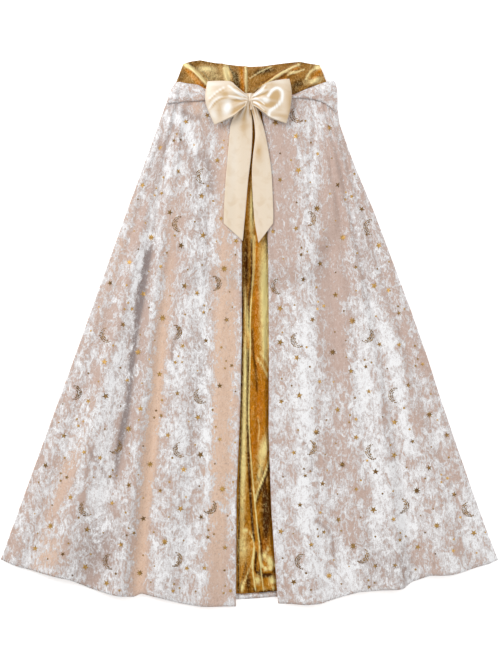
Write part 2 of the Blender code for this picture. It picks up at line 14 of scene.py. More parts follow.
import bpy
import numpy as np
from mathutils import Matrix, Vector


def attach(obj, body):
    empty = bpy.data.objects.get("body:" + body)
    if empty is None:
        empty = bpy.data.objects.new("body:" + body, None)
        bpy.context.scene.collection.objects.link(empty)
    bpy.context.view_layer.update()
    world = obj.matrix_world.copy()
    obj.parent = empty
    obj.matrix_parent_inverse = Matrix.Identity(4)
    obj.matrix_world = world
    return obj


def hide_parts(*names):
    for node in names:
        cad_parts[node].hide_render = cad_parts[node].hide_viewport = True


logging.basicConfig(level=logging.INFO, format="%(message)s")
log = logging.getLogger("cape")

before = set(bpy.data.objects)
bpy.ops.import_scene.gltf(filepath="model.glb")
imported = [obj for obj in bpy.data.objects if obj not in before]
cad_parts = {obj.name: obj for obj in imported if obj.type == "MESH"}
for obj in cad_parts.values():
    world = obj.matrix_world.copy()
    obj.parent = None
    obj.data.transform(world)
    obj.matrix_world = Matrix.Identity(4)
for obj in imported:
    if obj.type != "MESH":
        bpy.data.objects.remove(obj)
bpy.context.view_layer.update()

PX = 0.00125
MM = 0.001
Array = np.ndarray


# Tables of the form


class Place(NamedTuple):
    """A point in the photo's pixels."""

    u: float
    v: float


class Line(NamedTuple):
    """A crest or valley from neck to hem: fan angle and height at the neck, the middle and the hem."""

    name: str
    neck: float
    middle: float
    hem: float
    high_neck: float
    high_middle: float
    high_hem: float


class Crease(NamedTuple):
    """A soft ridge (or trough, where high is negative) between two places."""

    u0: float
    v0: float
    u1: float
    v1: float
    half: float
    high: float


class Strip(NamedTuple):
    """One cross line of a strip of cloth, with its lift."""

    u0: float
    v0: float
    u1: float
    v1: float
    lift: float


class Step(NamedTuple):
    """A step of the ribbon round a loop: share of the way out, and height."""

    out: float
    high: float


class Patch(NamedTuple):
    """A soft patch of tone: its middle, half sizes, lean (u for each v) and amount."""

    u: float
    v: float
    half_u: float
    half_v: float
    lean: float
    amount: float


class Trail(NamedTuple):
    """A soft line of tone through some places."""

    places: tuple
    half: float
    amount: float


class Valley(NamedTuple):
    """A long line in the velvet's pile: its places, half width, crush with its painted sheen (bare where negative)
    and painted grey shade.
    """

    places: tuple
    half: float
    crush_sheen: float
    grey_shade: float


class Loop(NamedTuple):
    """The outline of one loop of the bow."""

    top: Sequence[Place]
    outer: Sequence[Place]
    bottom: Sequence[Place]


class Kind(Enum):
    """What a printed motif is."""

    STAR = "star"
    BURST = "burst"
    DOT = "dot"
    TRIO = "trio"
    MOON = "moon"


class Motif(NamedTuple):
    """One printed motif of the charted repeat."""

    kind: Kind
    u: float
    v: float
    size: float
    turn: float


def table(kind: Callable, *rows: tuple) -> tuple:
    """Rows of values as a table. Args: kind: the class of a row; rows: their values. Returns: the table."""
    return tuple(kind(*row) for row in rows)


# The photo's middle, which is the frame's origin
MIDDLE = Place(250.0, 333.25)

SIDE_LEFT = table(Place, (168.4, 97), (165, 106), (129.8, 202), (78, 346), (0, 560), (-3, 568))
SIDE_RIGHT = table(
    Place, (333, 97), (335.5, 112), (351, 154), (371, 202), (389, 250), (407, 298), (424, 346), (439.5, 394),
    (456, 442), (472.5, 490), (490, 538), (502, 568),
)
EDGE_LEFT = table(Place, (242.5, 97), (242, 250), (242, 330), (240.5, 400), (236.6, 490), (236, 610))
EDGE_RIGHT = table(Place, (260, 97), (263, 122), (268, 250), (268.6, 430), (271.4, 511), (278.6, 610))
HEM = table(
    Place, (0, 560), (20, 568), (50, 575), (70, 580), (90, 589), (110, 594), (134, 597.5), (141, 594), (160, 598),
    (180, 604), (200, 607), (236, 607), (278, 604), (305, 605), (320, 604), (340, 598), (360, 592), (380, 591),
    (403, 588.5), (411, 583), (430, 576), (450, 575), (470, 570), (490, 564), (500, 560),
)
HOOD_TOP = table(
    Place, (176, 70), (183, 63), (190, 60.5), (200, 59), (210, 61), (220, 62.5), (235, 64.5), (250, 66),
    (262, 65.5), (275, 63.5), (290, 61.5), (300, 60.8), (310, 62.5), (320, 64),
)
POUCH_HALF = table(
    Place, (50, 74), (56, 78), (66, 92), (69, 104), (71, 130), (68, 190), (63, 230), (57, 246), (46, 256),
    (30, 261), (12, 262),
)
LEFT_LINES = table(
    Line, ("roll", -20, -19.2, -19.1, 1.4, 3.5, 5), ("dip", -19.5, -18.2, -18.1, 0.7, 2.2, 2.5),
    ("outer ridge", -18.9, -16.5, -15.7, 2.2, 8, 13), ("deep valley", -18.2, -14.1, -12.8, 0.4, 0.7, 1.6),
    ("lapping ridge", -17, -12.5, -10.4, 2.6, 9, 15), ("lap", -15, -10.9, -9.1, 0.9, 2, 2),
    ("inner ridge", -12, -8.4, -7.3, 2, 5.5, 8.5), ("wide valley", -8.4, -5.8, -5.4, 0.7, 1, 2),
    ("near ridge", -5.2, -3.9, -3.4, 1.8, 3.8, 5.5), ("flat strip", -3.5, -2.5, -2.2, 1.3, 1.8, 2.2),
)
RIGHT_LINES = table(
    Line, ("flat strip", 3.7, 3, 2.9, 1.3, 1.5, 2), ("white ridge", 11.3, 6.6, 4.5, 2.4, 6.5, 9.5),
    ("blush valley", 15.2, 9.9, 6.9, 0.9, 1.4, 3), ("middle ridge", 15.9, 11.6, 8.8, 1.6, 4.8, 7.5),
    ("middle dip", 16.4, 12.6, 10, 1.2, 3, 4), ("lapping ridge", 16.9, 14.1, 11.6, 2.2, 8.5, 14),
    ("lap", 17.4, 15.4, 12.9, 1, 2.4, 2), ("outer ridge", 17.8, 17, 16.2, 1.9, 7, 12),
    ("dip", 18.2, 18.3, 18.1, 0.8, 2.5, 3), ("roll", 18.6, 19.1, 19, 1.2, 3.2, 4.5),
)
EDGE_LIFT = (1.2, 3.0, 3.6)
SIDE_LIFT = (0.4, 0.8, 1.0)
LINING_LINES = table(
    Line, ("left fold", -1.5, -0.78, -0.75, 1.2, 2.4, 2.8), ("left hollow", -0.6, -0.5, 0.25, 0.3, 0.5, 0.8),
    ("centre seam", 0.2, -0.22, 0.95, 1.8, 2.8, 3.2), ("right hollow", 0.7, 0.5, 1.3, 0.3, 0.4, 0.7),
    ("right fold", 1.5, 1.3, 1.65, 1.8, 2.8, 2.4),
)
HOOD_CREASES = table(
    Crease, (187, 64, 210, 88, 3.6, 3.2), (222, 63, 228, 85, 4.6, 3.4), (245.5, 64, 245.5, 92, 2.8, 2.4),
    (297, 64, 257, 89, 4.6, 4.2), (300, 67, 286, 77, 2.8, 1.6), (324, 73, 302, 91, 4.4, 3),
)
# Small creases of the fronts, each with its own length, width and depth
FRONT_CREASES = table(
    Crease, (169, 112, 180, 134, 3, 1.4), (180, 128, 176, 182, 2.6, 1), (186, 118, 203, 176, 4, -0.9),
    (196, 108, 214, 214, 4.5, 0.9), (163, 150, 150, 240, 3, 0.9), (205, 230, 200, 330, 3.6, 0.7),
    (186, 250, 180, 372, 3, -0.8), (173, 300, 166, 420, 2.4, 0.8), (212, 300, 208, 470, 3.2, 0.6),
    (195, 400, 188, 540, 3.4, -0.8), (172, 440, 160, 560, 3, 0.8), (100, 330, 82, 420, 3, 0.7),
    (70, 440, 40, 540, 3.2, -0.8), (112, 400, 96, 500, 2.6, 0.8), (126, 470, 116, 580, 2.8, 0.7),
    (226, 420, 222, 590, 4, 0.5), (52, 470, 24, 552, 2.4, 0.6), (148, 300, 142, 380, 2, 0.7),
    (300, 108, 292, 190, 3.4, 0.9), (316, 112, 306, 240, 3.6, -0.9), (332, 118, 330, 210, 3, -1),
    (344, 150, 352, 270, 2.8, 0.8), (361, 280, 364, 400, 2, 0.8), (370, 290, 374, 470, 1.8, -0.9),
    (378, 300, 384, 480, 2, 0.8), (300, 300, 296, 470, 3.4, 0.6), (318, 400, 322, 560, 3.2, -0.8),
    (345, 420, 352, 560, 3, 0.7), (396, 330, 416, 440, 3, 0.7), (412, 450, 440, 560, 3, -0.8),
    (430, 400, 470, 530, 2.8, 0.7), (386, 500, 396, 584, 2.6, 0.8), (284, 480, 290, 596, 3.4, 0.5),
)
BAND = table(
    Strip, (169, 93, 166.6, 104.2, 0), (176, 82.4, 175, 103.4, 0.5), (187, 83.5, 187, 102.2, 0.8),
    (198, 85, 198, 101.6, 0.6), (206, 88.8, 206, 101.2, 0), (225, 92, 225, 101.4, -0.5),
    (249, 93.2, 249, 101.8, -1), (275, 94.2, 275, 100.2, -0.8), (291.6, 94.6, 291.6, 98.8, -0.4),
    (300, 91.8, 300, 98.8, 0.2), (310, 87.8, 310, 99.6, 0.8), (320, 84, 320, 102, 1.2),
    (329, 81, 329, 107, 1.6), (335, 80.6, 335.6, 112, 1.2), (337.2, 89, 337.4, 108.5, 0.6),
)
TAIL_LEFT = table(
    Strip, (246.4, 101.6, 249.2, 102.4, 12), (243.4, 105.6, 249.6, 106, 10.8),
    (240.2, 110, 250.6, 110, 8), (234.4, 116.5, 251.8, 116.5, 4), (230.9, 124, 252.3, 124, 2.2),
    (229.3, 138, 252.3, 138, 0.9), (227.6, 158, 250.9, 158, 0.4), (225.5, 182.5, 248, 182.5, 0.3),
    (224, 208, 245.6, 211, 0.5), (223.6, 223.6, 242.8, 241.4, 0.9),
)
TAIL_RIGHT = table(
    Strip, (249.8, 102.4, 252.4, 101.6, 12), (250, 106, 255.2, 105.4, 10.8),
    (251.4, 111.5, 258.2, 109.8, 7.6), (253.4, 119, 260.6, 118, 4.2), (254.6, 127, 263.2, 126, 2.8),
    (255, 138, 266, 138, 2.4), (252.9, 157, 269.3, 156, 1.8), (251.9, 173.6, 271.6, 173.6, 0.7),
    (252.8, 198, 272.8, 198, 0.3), (254.8, 222, 273.3, 212, 0.4), (258.4, 243.2, 273.1, 223.6, 0.8),
)
LOOP_PATH = table(
    Step, (0.00, 5.4), (0.08, 6.6), (0.20, 8.6), (0.36, 10.2), (0.55, 10.7), (0.74, 10), (0.89, 8.4),
    (0.975, 6.4), (1, 4.9), (0.975, 3.4), (0.88, 2), (0.70, 1.2), (0.45, 1.2), (0.20, 2), (0.00, 3.2),
)
KNOT_LEVELS = table(
    Step, (0.6, 0), (0.86, 0.05), (1, 0.2), (1.04, 0.45), (1, 0.66), (0.9, 0.8), (0.7, 0.9), (0.45, 0.95),
    (0.2, 0.97), (0.06, 0.97),
)


LOOP_LEFT = Loop(
    table(Place, (247.6, 97), (240.4, 91.4), (235, 86.8), (229, 83.2), (208.3, 82.7)),
    table(Place, (208.3, 82.7), (206, 96.7), (207.7, 108), (215.3, 125.7)),
    table(Place, (247.6, 106), (240.4, 112.2), (233, 117.8), (215.3, 125.7)),
)
LOOP_RIGHT = Loop(
    table(Place, (251.6, 97), (258.6, 91.4), (264.6, 86), (274, 82.8), (288.6, 80.4)),
    table(Place, (288.6, 80.4), (290.9, 94), (289.3, 110.7), (285.5, 124.4)),
    table(Place, (251.6, 106), (258.6, 110.6), (265, 115.2), (271, 119.4), (285.5, 124.4)),
)

# Where the velvet's crush shows as painted white sheen, with painted highlights on the fold ridges (positive), or
# shows its bare pile (negative)
CRUSH_SHEEN = table(
    Patch, (185, 360, 15, 90, -0.06, 0.4), (184, 470, 17, 80, -0.08, 0.45), (172, 560, 18, 40, -0.1, 0.5),
    (116, 365, 12, 42, -0.3, 0.6), (85, 428, 14, 26, -0.2, 0.9), (104, 505, 12, 36, -0.3, 0.5),
    (163, 205, 12, 60, -0.2, 0.6), (152, 150, 9, 40, -0.3, 0.4), (206, 200, 9, 70, 0.1, 0.5),
    (142, 250, 5, 40, -0.25, 0.8), (136, 340, 6, 50, -0.2, 0.7), (124, 430, 6, 60, -0.2, 0.7),
    (28, 545, 14, 20, -0.3, 0.2), (208, 450, 6, 110, -0.03, 0.7), (203, 300, 7, 60, 0, 0.6),
    (306, 365, 10, 90, 0, 0.9), (306, 470, 10, 90, 0.02, 0.8), (322, 570, 16, 36, 0.1, 0.7),
    (362, 400, 13, 60, 0.05, 0.7), (374, 440, 10, 60, 0.1, 0.8), (368, 320, 12, 50, 0.05, 0.6),
    (396, 350, 12, 40, 0.2, 0.3), (384, 525, 12, 46, 0.1, 0.6), (310, 180, 10, 60, 0, 0.4),
    (480, 548, 18, 20, 0.3, 0.3), (420, 390, 10, 30, 0.3, 0.3), (312, 90, 12, 8, -0.2, 0.6),
    (195, 95, 16, 4, 0, 0.7), (180, 120, 8, 14, 0.2, 0.6), (141, 325, 8, 100, -0.17, -1.3),
    (120, 455, 8, 50, -0.2, -1.1), (162, 160, 8, 60, -0.35, -0.8), (136, 230, 8, 40, -0.35, -0.5),
    (132, 300, 3.5, 60, -0.22, 1), (154, 290, 3.5, 50, -0.1, 1), (108, 440, 5, 50, -0.25, 0.9),
    (397, 385, 6, 60, 0.2, 1), (404, 520, 6, 40, 0.1, 0.7), (352, 575, 10, 24, 0, 0.6), (285, 400, 8, 90, 0, 0.3),
    (278, 500, 5, 80, 0.05, 0.4), (117, 318, 11, 50, -0.3, -0.45), (136, 238, 8, 36, -0.3, -0.3),
    (96, 390, 9, 40, -0.3, -0.4), (440, 530, 50, 46, 0.2, 0.45), (405, 450, 30, 50, 0.2, 0.3),
    (340, 575, 24, 24, 0, 0.3), (196, 560, 16, 36, -0.1, 0.4), (100, 480, 24, 60, -0.3, 0.25),
    (172, 160, 14, 50, -0.2, 0.3), (158, 380, 5.5, 130, -0.1, -1.5), (146, 500, 5, 90, -0.1, -1.4),
    (225, 330, 11, 110, -0.02, -1.4), (219, 480, 10, 110, -0.04, -1.3), (216, 580, 14, 40, -0.05, -0.9),
    (64, 485, 8, 50, -0.35, -1), (48, 556, 14, 18, -0.35, -1), (98, 560, 17, 30, -0.3, -0.5),
    (140, 575, 8, 26, -0.1, -1.2), (174, 230, 9, 60, 0.1, -0.6), (223, 170, 8, 60, 0, -0.6),
    (196, 104, 10, 10, 0, -0.8), (333, 150, 9, 30, 0.1, -0.8), (335, 205, 13, 44, 0, -1.3),
    (334, 285, 12, 46, 0, -1.2), (337, 352, 13, 34, 0, -1.3), (280, 150, 13, 60, 0, -1),
    (281, 240, 12, 60, 0, -0.7), (336, 440, 12, 40, 0.05, -0.6), (360, 480, 8, 26, 0.1, -0.5),
    (425, 362, 10, 18, 0.3, -0.8), (418, 424, 12, 16, 0.2, -0.6), (424, 560, 18, 18, 0.3, -0.7),
    (350, 535, 14, 14, 0.1, -0.6), (395, 300, 8, 40, 0.3, -0.5), (440, 500, 14, 20, 0.3, -0.4),
    (298, 250, 8, 30, 0, -0.3),
)
# Where the bare pile gets painted warm peach shade, and where it gets painted grey shade
PEACH_SHADE = table(
    Patch, (158, 370, 8, 130, -0.1, 1), (147, 480, 6.6, 90, -0.1, 1), (225, 330, 14, 130, 0, 1),
    (219, 480, 14, 130, -0.03, 1), (200, 108, 14, 16, 0, 0.5), (64, 480, 10, 56, -0.35, 0.7),
    (48, 556, 16, 18, -0.3, 0.8), (232, 150, 8, 50, 0, 0.8), (140, 570, 9, 30, -0.1, 0.8),
    (120, 250, 8, 60, -0.3, 0.4),
)
GREY_SHADE = table(
    Patch, (146, 262, 4.6, 26, -0.25, 1.3), (140, 300, 4.6, 26, -0.2, 1.3), (132, 356, 4, 36, -0.14, 1.1),
    (123, 430, 4.6, 46, -0.18, 1.1), (98, 550, 20, 36, -0.3, 0.6), (200, 390, 9, 90, -0.05, 0.4),
    (196, 180, 8, 50, 0.1, 0.3), (366, 250, 10, 60, 0.1, 0.25), (380, 560, 22, 26, 0.1, 0.35),
    (410, 580, 12, 20, 0.3, 0.5), (205, 240, 7, 40, 0, 0.3), (160, 150, 8, 50, -0.35, 0.4),
)
# Long lines in the velvet's pile, most of them bare valleys with painted grey shade in their depth, a few of them
# lines of painted sheen
VALLEYS = table(
    Valley,
    (((147, 252), (141, 300), (134, 350), (128, 402), (121, 432), (117.4, 451), (115.6, 478)), 2.6, -0.6, 0.35),
    (((404, 312), (407, 350), (411, 395)), 3, -0.8, 0), (((88, 470), (82, 510)), 2.4, -0.7, 0),
    (((175, 112), (187, 131), (195, 150), (200, 182)), 2.8, 0.8, 0),
    (((166, 114), (172, 134), (164, 165), (159, 190)), 3.2, 0.8, 0),
    (((171, 124), (181, 139), (187, 152), (192, 168), (198, 190)), 2.2, -0.6, 0.2),
    (((201, 156), (209, 168), (210, 190)), 6, -0.6, 0.45), (((182, 112), (190, 117), (199, 118)), 3.4, -0.8, 0.6),
    (((88, 444), (93, 457), (104, 472), (108, 484)), 1.5, -0.7, 0.4),
    (((94, 446), (90, 462), (86, 476)), 1.4, -0.8, 0.4), (((302, 440), (310, 452), (312, 470)), 1.5, -0.7, 0.5),
    (((350, 392), (346, 410), (352, 428)), 1.6, -0.7, 0), (((178, 330), (172, 352), (176, 372)), 1.5, -0.7, 0.5),
    (((316, 520), (330, 534), (334, 556)), 1.8, -0.8, 0.5), (((196, 486), (190, 506), (194, 528)), 1.6, -0.7, 0),
    (((330, 384), (326, 404), (330, 430)), 5, 0.8, 0), (((382, 470), (392, 490), (394, 512)), 1.6, -0.8, 0),
)
BARE_LINES = tuple(Trail(k.places, k.half, k.crush_sheen) for k in VALLEYS)
GREY_SHADE_LINES = tuple(Trail(k.places, k.half, k.grey_shade) for k in VALLEYS if k.grey_shade)
# Painted tones of the gold in the hood, and in the opening: painted shade, painted warm shade and painted highlights
GOLD_DARK_SHADE = table(
    Patch, (236.5, 82, 3.4, 13, 0.1, 1.1), (260, 72, 9, 4, -1.4, 0.6), (298, 84, 7, 5, -0.6, 0.8),
    (215, 78, 7, 8, 0.2, 0.4), (181, 76, 4, 7, -0.3, 0.5), (282, 92, 10, 4, 0, 0.8), (245, 60, 70, 3.5, 0, 0.7),
    (268, 70, 10, 3, -0.5, 0.5), (246, 262, 3.4, 34, 0, 0.9), (268.4, 244, 2.6, 14, 0, 0.9),
    (265.5, 500, 4.6, 26, 0.04, 0.9), (266, 528, 4.4, 18, 0, 0.7), (260, 468, 2.2, 2.6, 0.4, 0.6),
    (258.4, 478, 1.6, 3.4, 0.2, 0.6), (263, 474, 1.6, 2.2, 0, 0.5), (242, 510, 1.6, 3, 0.3, 0.5),
    (245, 520, 1.8, 3, -0.3, 0.5), (248.5, 584, 3.4, 11, 0, 0.8), (260, 572, 1.6, 8, 0, 0.6),
)
GOLD_ORANGE = table(
    Patch, (196, 78, 3.6, 9, 0.8, 1), (277, 80, 9, 3.6, -1.5, 0.8), (232, 74, 5, 6, 0, 0.5),
    (256.5, 312, 2.6, 34, 0, 0.6), (260, 402, 7, 34, 0, 0.9), (255, 448, 4, 18, 0, 0.7), (263, 550, 6, 14, 0, 0.7),
    (247, 576, 5, 16, 0, 0.5),
)
GOLD_HIGHLIGHT = table(
    Patch, (199, 76, 1.8, 13, 0.92, 1.2), (227, 75, 2.6, 10, 0.1, 1.1), (246, 80, 1.6, 13, 0, 0.7),
    (277, 77, 2, 12, -1.6, 0.9), (314, 81, 6, 3, -1.2, 1), (292, 72, 5, 1.6, -1.4, 0.7),
    (188, 66, 4, 2.4, 0.9, 0.8), (264.6, 292, 4.6, 46, 0, 1.1), (206, 68, 8, 3, 0.2, 0.7),
    (252, 212, 2.6, 24, 0, 0.9), (212, 76, 22, 8, 0, 0.3), (320, 66, 5, 2.4, 0.2, 0.7),
    (265.4, 344, 3.2, 16, 0, 0.7), (246.6, 316, 1.7, 24, 0.08, 0.7), (245, 372, 2, 40, -0.02, 0.8),
    (243.4, 462, 2.7, 66, -0.02, 0.8), (263.6, 450, 4.6, 13, -0.25, 0.9), (259.6, 474, 2.2, 14, -0.25, 0.5),
    (243.6, 548, 5.4, 13, 0, 0.5), (270, 562, 3, 4.4, 0.2, 1.3), (272.6, 581, 3.2, 2.4, 0, 1.5),
    (257.6, 581, 2, 3, 0, 1.4), (264.4, 556, 2.2, 3.4, -0.3, 0.9), (242, 588, 2, 3.4, 0, 0.6),
)

# Painted highlights as thin lines on the gold's folds, painted warm shade beside them, and painted shade
GOLD_LINES = table(
    Trail, (((184, 63), (192, 69), (201, 77), (209, 87)), 1.1, 0.9), (((224, 68), (228, 76), (227, 84)), 1.2, 0.9),
    (((245.5, 67), (246.5, 80), (246, 92)), 0.7, 0.8), (((300, 64), (286, 70), (274, 78), (264, 87)), 0.8, 0.6),
    (((319, 66), (311, 71), (306, 79)), 1.3, 0.7), (((304, 69), (296, 72), (288, 75)), 0.8, 0.6),
    (((271, 66), (263, 70), (250, 78)), 0.8, 0.5), (((282, 74), (272, 84), (266, 92)), 0.7, 0.5),
    (((253.2, 236), (253.4, 262), (252, 290), (250.2, 320), (250.4, 345)), 0.55, 1),
    (((254.8, 236), (254.8, 262), (253.2, 285)), 0.4, 0.7),
    (((250.4, 345), (249.6, 380), (248.9, 420), (251, 460), (254, 495), (257, 524), (259.4, 545)), 0.55, 1),
    (((270.5, 457), (264, 476), (258.4, 490), (255.6, 500)), 0.8, 1),
    (((259.4, 545), (260.6, 566), (263.6, 592)), 0.6, 0.8), (((253.8, 550), (252.8, 570), (255.6, 592)), 0.7, 0.9),
    (((240, 533), (247, 531), (252.6, 539), (254.2, 551), (251, 566), (246, 578), (241.4, 592)), 0.7, 0.7),
    (((259.6, 556), (262, 566), (268, 570.5), (274, 566)), 1, 1.2),
    (((266, 552), (270, 547), (273, 548)), 0.8, 0.8), (((258, 360), (262.6, 366), (268, 377)), 1, 0.6),
    (((260, 352), (266, 360), (268.4, 366)), 0.9, 0.5), (((258.6, 318), (263, 320), (268, 319)), 0.7, 0.4),
    (((260, 330), (264, 333), (268, 331)), 0.7, 0.4), (((265, 589), (270, 587), (275, 590)), 0.9, 0.8),
    (((258, 418), (259.4, 430), (258, 440)), 0.8, 0.4),
)
GOLD_WARM = table(
    Trail, (((187, 69), (197, 80), (206, 91)), 2.6, 1), (((296, 67), (280, 74), (262, 88)), 2.4, 1.1),
    (((241, 68), (242, 80), (243, 92)), 2.6, 1), (((322, 67), (318, 73), (310, 82)), 2.6, 0.9),
    (((256.4, 240), (257, 290), (255, 340), (258, 372)), 1.6, 0.7),
    (((251, 350), (251, 420), (254, 460)), 1.2, 0.6), (((262, 560), (268, 520), (266, 490)), 3, 0.5),
)
GOLD_SHADE = table(
    Trail, (((242.3, 290), (242.1, 340), (241.2, 420), (239.4, 500), (238.4, 592)), 0.8, 0.9),
    (((251.4, 240), (251.2, 280), (249, 300), (248.8, 330)), 1, 0.9),
    (((248.2, 350), (247.2, 400), (247.8, 440), (249.6, 480), (252, 520), (254, 541)), 1.3, 1.1),
    (((252.4, 330), (253, 350), (256, 372), (257, 392)), 1.5, 0.6), (((269.2, 372), (270, 440)), 0.8, 0.6),
    (((271.6, 462), (266, 478), (260, 492), (257, 503)), 1.2, 0.7),
    (((258.6, 528), (261.4, 548), (262.4, 560)), 1.1, 0.7), (((261, 574), (267, 576.5), (275, 573)), 1.5, 1.3),
    (((256.4, 552), (255.4, 570), (258, 574)), 1.1, 1), (((246.4, 562), (243, 578), (240, 590)), 1, 0.6),
    (((254, 590), (262, 593), (275, 592)), 1.3, 0.8), (((190, 63), (203, 72), (212, 84)), 0.9, 0.5),
    (((229, 66), (235, 78), (238, 92)), 1.2, 0.7), (((292, 67), (276, 74), (262, 84)), 0.8, 0.5),
)

# Painted shade and painted highlights of the bow, as patches, and as lines along its gloss and its pleats
LOOP_LEFT_TONES = {
    "bright": table(Patch, (227.5, 109.5, 3.4, 6.5, -0.15, 1.5), (214, 116, 3, 6, 0.4, 0.6),
        (216, 86, 8, 2, 0, 0.5)),
    "painted_shade": table(Patch, (225, 95, 5, 3.4, 0, 0.7), (238, 108, 6, 3.6, -0.4, 1), (220, 111, 2.6, 8, 0, 0.7),
        (234, 114, 4, 3, 0, 0.6), (240, 101, 5, 3, 0, 0.5)),
}
LOOP_LEFT_SHINES = {
    "bright": table(Trail, (((243, 98), (236, 94), (229, 88)), 1.1, 1),
        (((225, 89), (217, 94), (210, 100)), 0.9, 0.9), (((221, 98.5), (214, 103), (210, 109)), 1, 0.9),
        (((243, 101.5), (235, 99), (229, 98)), 0.8, 0.8)),
    "painted_shade": table(Trail, (((244, 104), (234, 101.6), (226, 100.4), (218, 102.5), (211, 110)), 1, 1),
        (((243, 96), (237, 91), (231, 91)), 0.9, 0.6), (((224, 92), (216, 96.5), (210, 103)), 0.8, 0.7)),
}
LOOP_RIGHT_TONES = {
    "bright": table(Patch, (265.5, 102, 3.2, 2.4, 0.3, 1.2), (276, 119.5, 6, 1.8, 0, 0.6), (280, 84, 7, 2, 0, 0.3)),
    "painted_shade": table(Patch, (274, 99, 5.4, 9, 0.1, 1.7), (290, 104, 3.4, 16, 0, 0.9), (282, 118, 9, 3, 0.3, 0.9),
        (262, 107, 5, 3, 0.5, 1), (265, 90, 1.6, 1.8, 0, 1.2), (286, 100, 2.6, 14, 0, 0.3),
        (271, 107, 4, 3, 0, 0.7), (259, 99, 4, 3, 0, 0.5)),
}
LOOP_RIGHT_SHINES = {
    "bright": table(Trail, (((268, 98), (272, 92.5), (277, 90), (281, 92.5), (282.2, 98), (280, 104), (275, 109),
        (270, 112.5), (268.5, 117)), 1.3, 1.5), (((255, 97), (261, 93), (265, 88)), 1, 0.9),
        (((255, 100), (260, 102), (264, 106)), 0.8, 0.8), (((254, 103), (259, 107), (264, 112)), 0.8, 0.7)),
    "painted_shade": table(Trail, (((254, 98.5), (261, 97), (267, 94)), 0.9, 0.8),
        (((254, 102), (260, 104.6), (266, 108)), 0.8, 0.9), (((254, 105), (259, 109), (265, 113.5)), 0.8, 0.8)),
}
TAIL_TONES = {
    "bright": table(Patch, (234, 160, 5, 30, 0, 0.25)),
    "painted_shade": table(Patch, (244, 124, 4, 12, 0, 0.55), (259, 152, 4, 10, 0, 0.7), (252, 112, 5, 4, 0, 0.6),
        (264, 138, 3, 16, 0.2, 0.2)),
}

# The repeat of the print, charted on a tile
TILE_U = 96.0
TILE_V = 112.0
REPEAT = table(
    Motif, (Kind.STAR, 10, 9, 3.7, 8), (Kind.STAR, 47, 20, 3.2, 30), (Kind.STAR, 83, 6, 2.8, 50),
    (Kind.BURST, 30, 44, 3.9, 12), (Kind.STAR, 71, 47, 3.1, 66), (Kind.STAR, 7, 68, 2.9, 20),
    (Kind.BURST, 53, 76, 3.6, 40), (Kind.STAR, 88, 84, 3.5, 5), (Kind.STAR, 33, 98, 3.1, 55),
    (Kind.STAR, 66, 104, 2.5, 15), (Kind.TRIO, 62, 30, 5.2, 10), (Kind.TRIO, 16, 86, 5, 130),
    (Kind.MOON, 84, 62, 7.2, 165), (Kind.MOON, 20, 58, 6.8, 20), (Kind.DOT, 25, 18, 0.9, 0),
    (Kind.DOT, 66, 12, 1.2, 0), (Kind.DOT, 92, 32, 0.9, 0), (Kind.DOT, 41, 33, 1, 0), (Kind.DOT, 50, 58, 0.9, 0),
    (Kind.DOT, 78, 72, 1.2, 0), (Kind.DOT, 40, 84, 0.9, 0), (Kind.DOT, 72, 92, 1.1, 0), (Kind.DOT, 50, 108, 0.9, 0),
    (Kind.DOT, 92, 108, 1, 0), (Kind.DOT, 8, 40, 1, 0), (Kind.DOT, 36, 66, 0.8, 0),
)

# Motifs of a single ring: points and inner share
ONE_RING = {Kind.STAR: (5, 0.42), Kind.BURST: (8, 0.45), Kind.DOT: (7, 1.0)}


# Array helpers


def soft(t: Array) -> Array:
    """Eases from 0 to 1 with level ends.

    Args: t: where. Returns: the eased value.
    """
    t = np.clip(t, 0.0, 1.0)
    return t * t * (3.0 - 2.0 * t)


def through(a: float, b: float, c: float, s: Array) -> Array:
    """The curve through a, b and c at 0, one half and 1.

    Args: a, b, c: the values; s: where. Returns: the value there.
    """
    return a * (1 - s) * (1 - 2 * s) + b * 4 * s * (1 - s) + c * s * (2 * s - 1)


def smooth_rows(rows: Array, count: int) -> Array:
    """More rows, on a smooth curve through the given ones.

    Args: rows: the known rows; count: how many to return. Returns: the rows.
    """
    rows = np.asarray(rows, float)
    x = np.linspace(0, len(rows) - 1, count)
    i = np.minimum(x.astype(int), len(rows) - 2)
    t = (x - i)[:, None]
    p0, p1 = rows[np.maximum(i - 1, 0)], rows[i]
    p2, p3 = rows[i + 1], rows[np.minimum(i + 2, len(rows) - 1)]
    return 0.5 * (2 * p1 + (p2 - p0) * t + (2 * p0 - 5 * p1 + 4 * p2 - p3) * t**2
                  + (3 * p1 - p0 - 3 * p2 + p3) * t**3)


def linear(srgb: Sequence[float]) -> tuple:
    """A display colour of 0 to 255 as a linear one.

    Args: srgb: three values. Returns: red, green, blue and alpha.
    """
    c = [x / 255 for x in srgb]
    return (*[x / 12.92 if x <= 0.04045 else ((x + 0.055) / 1.055) ** 2.4 for x in c], 1.0)


# The form


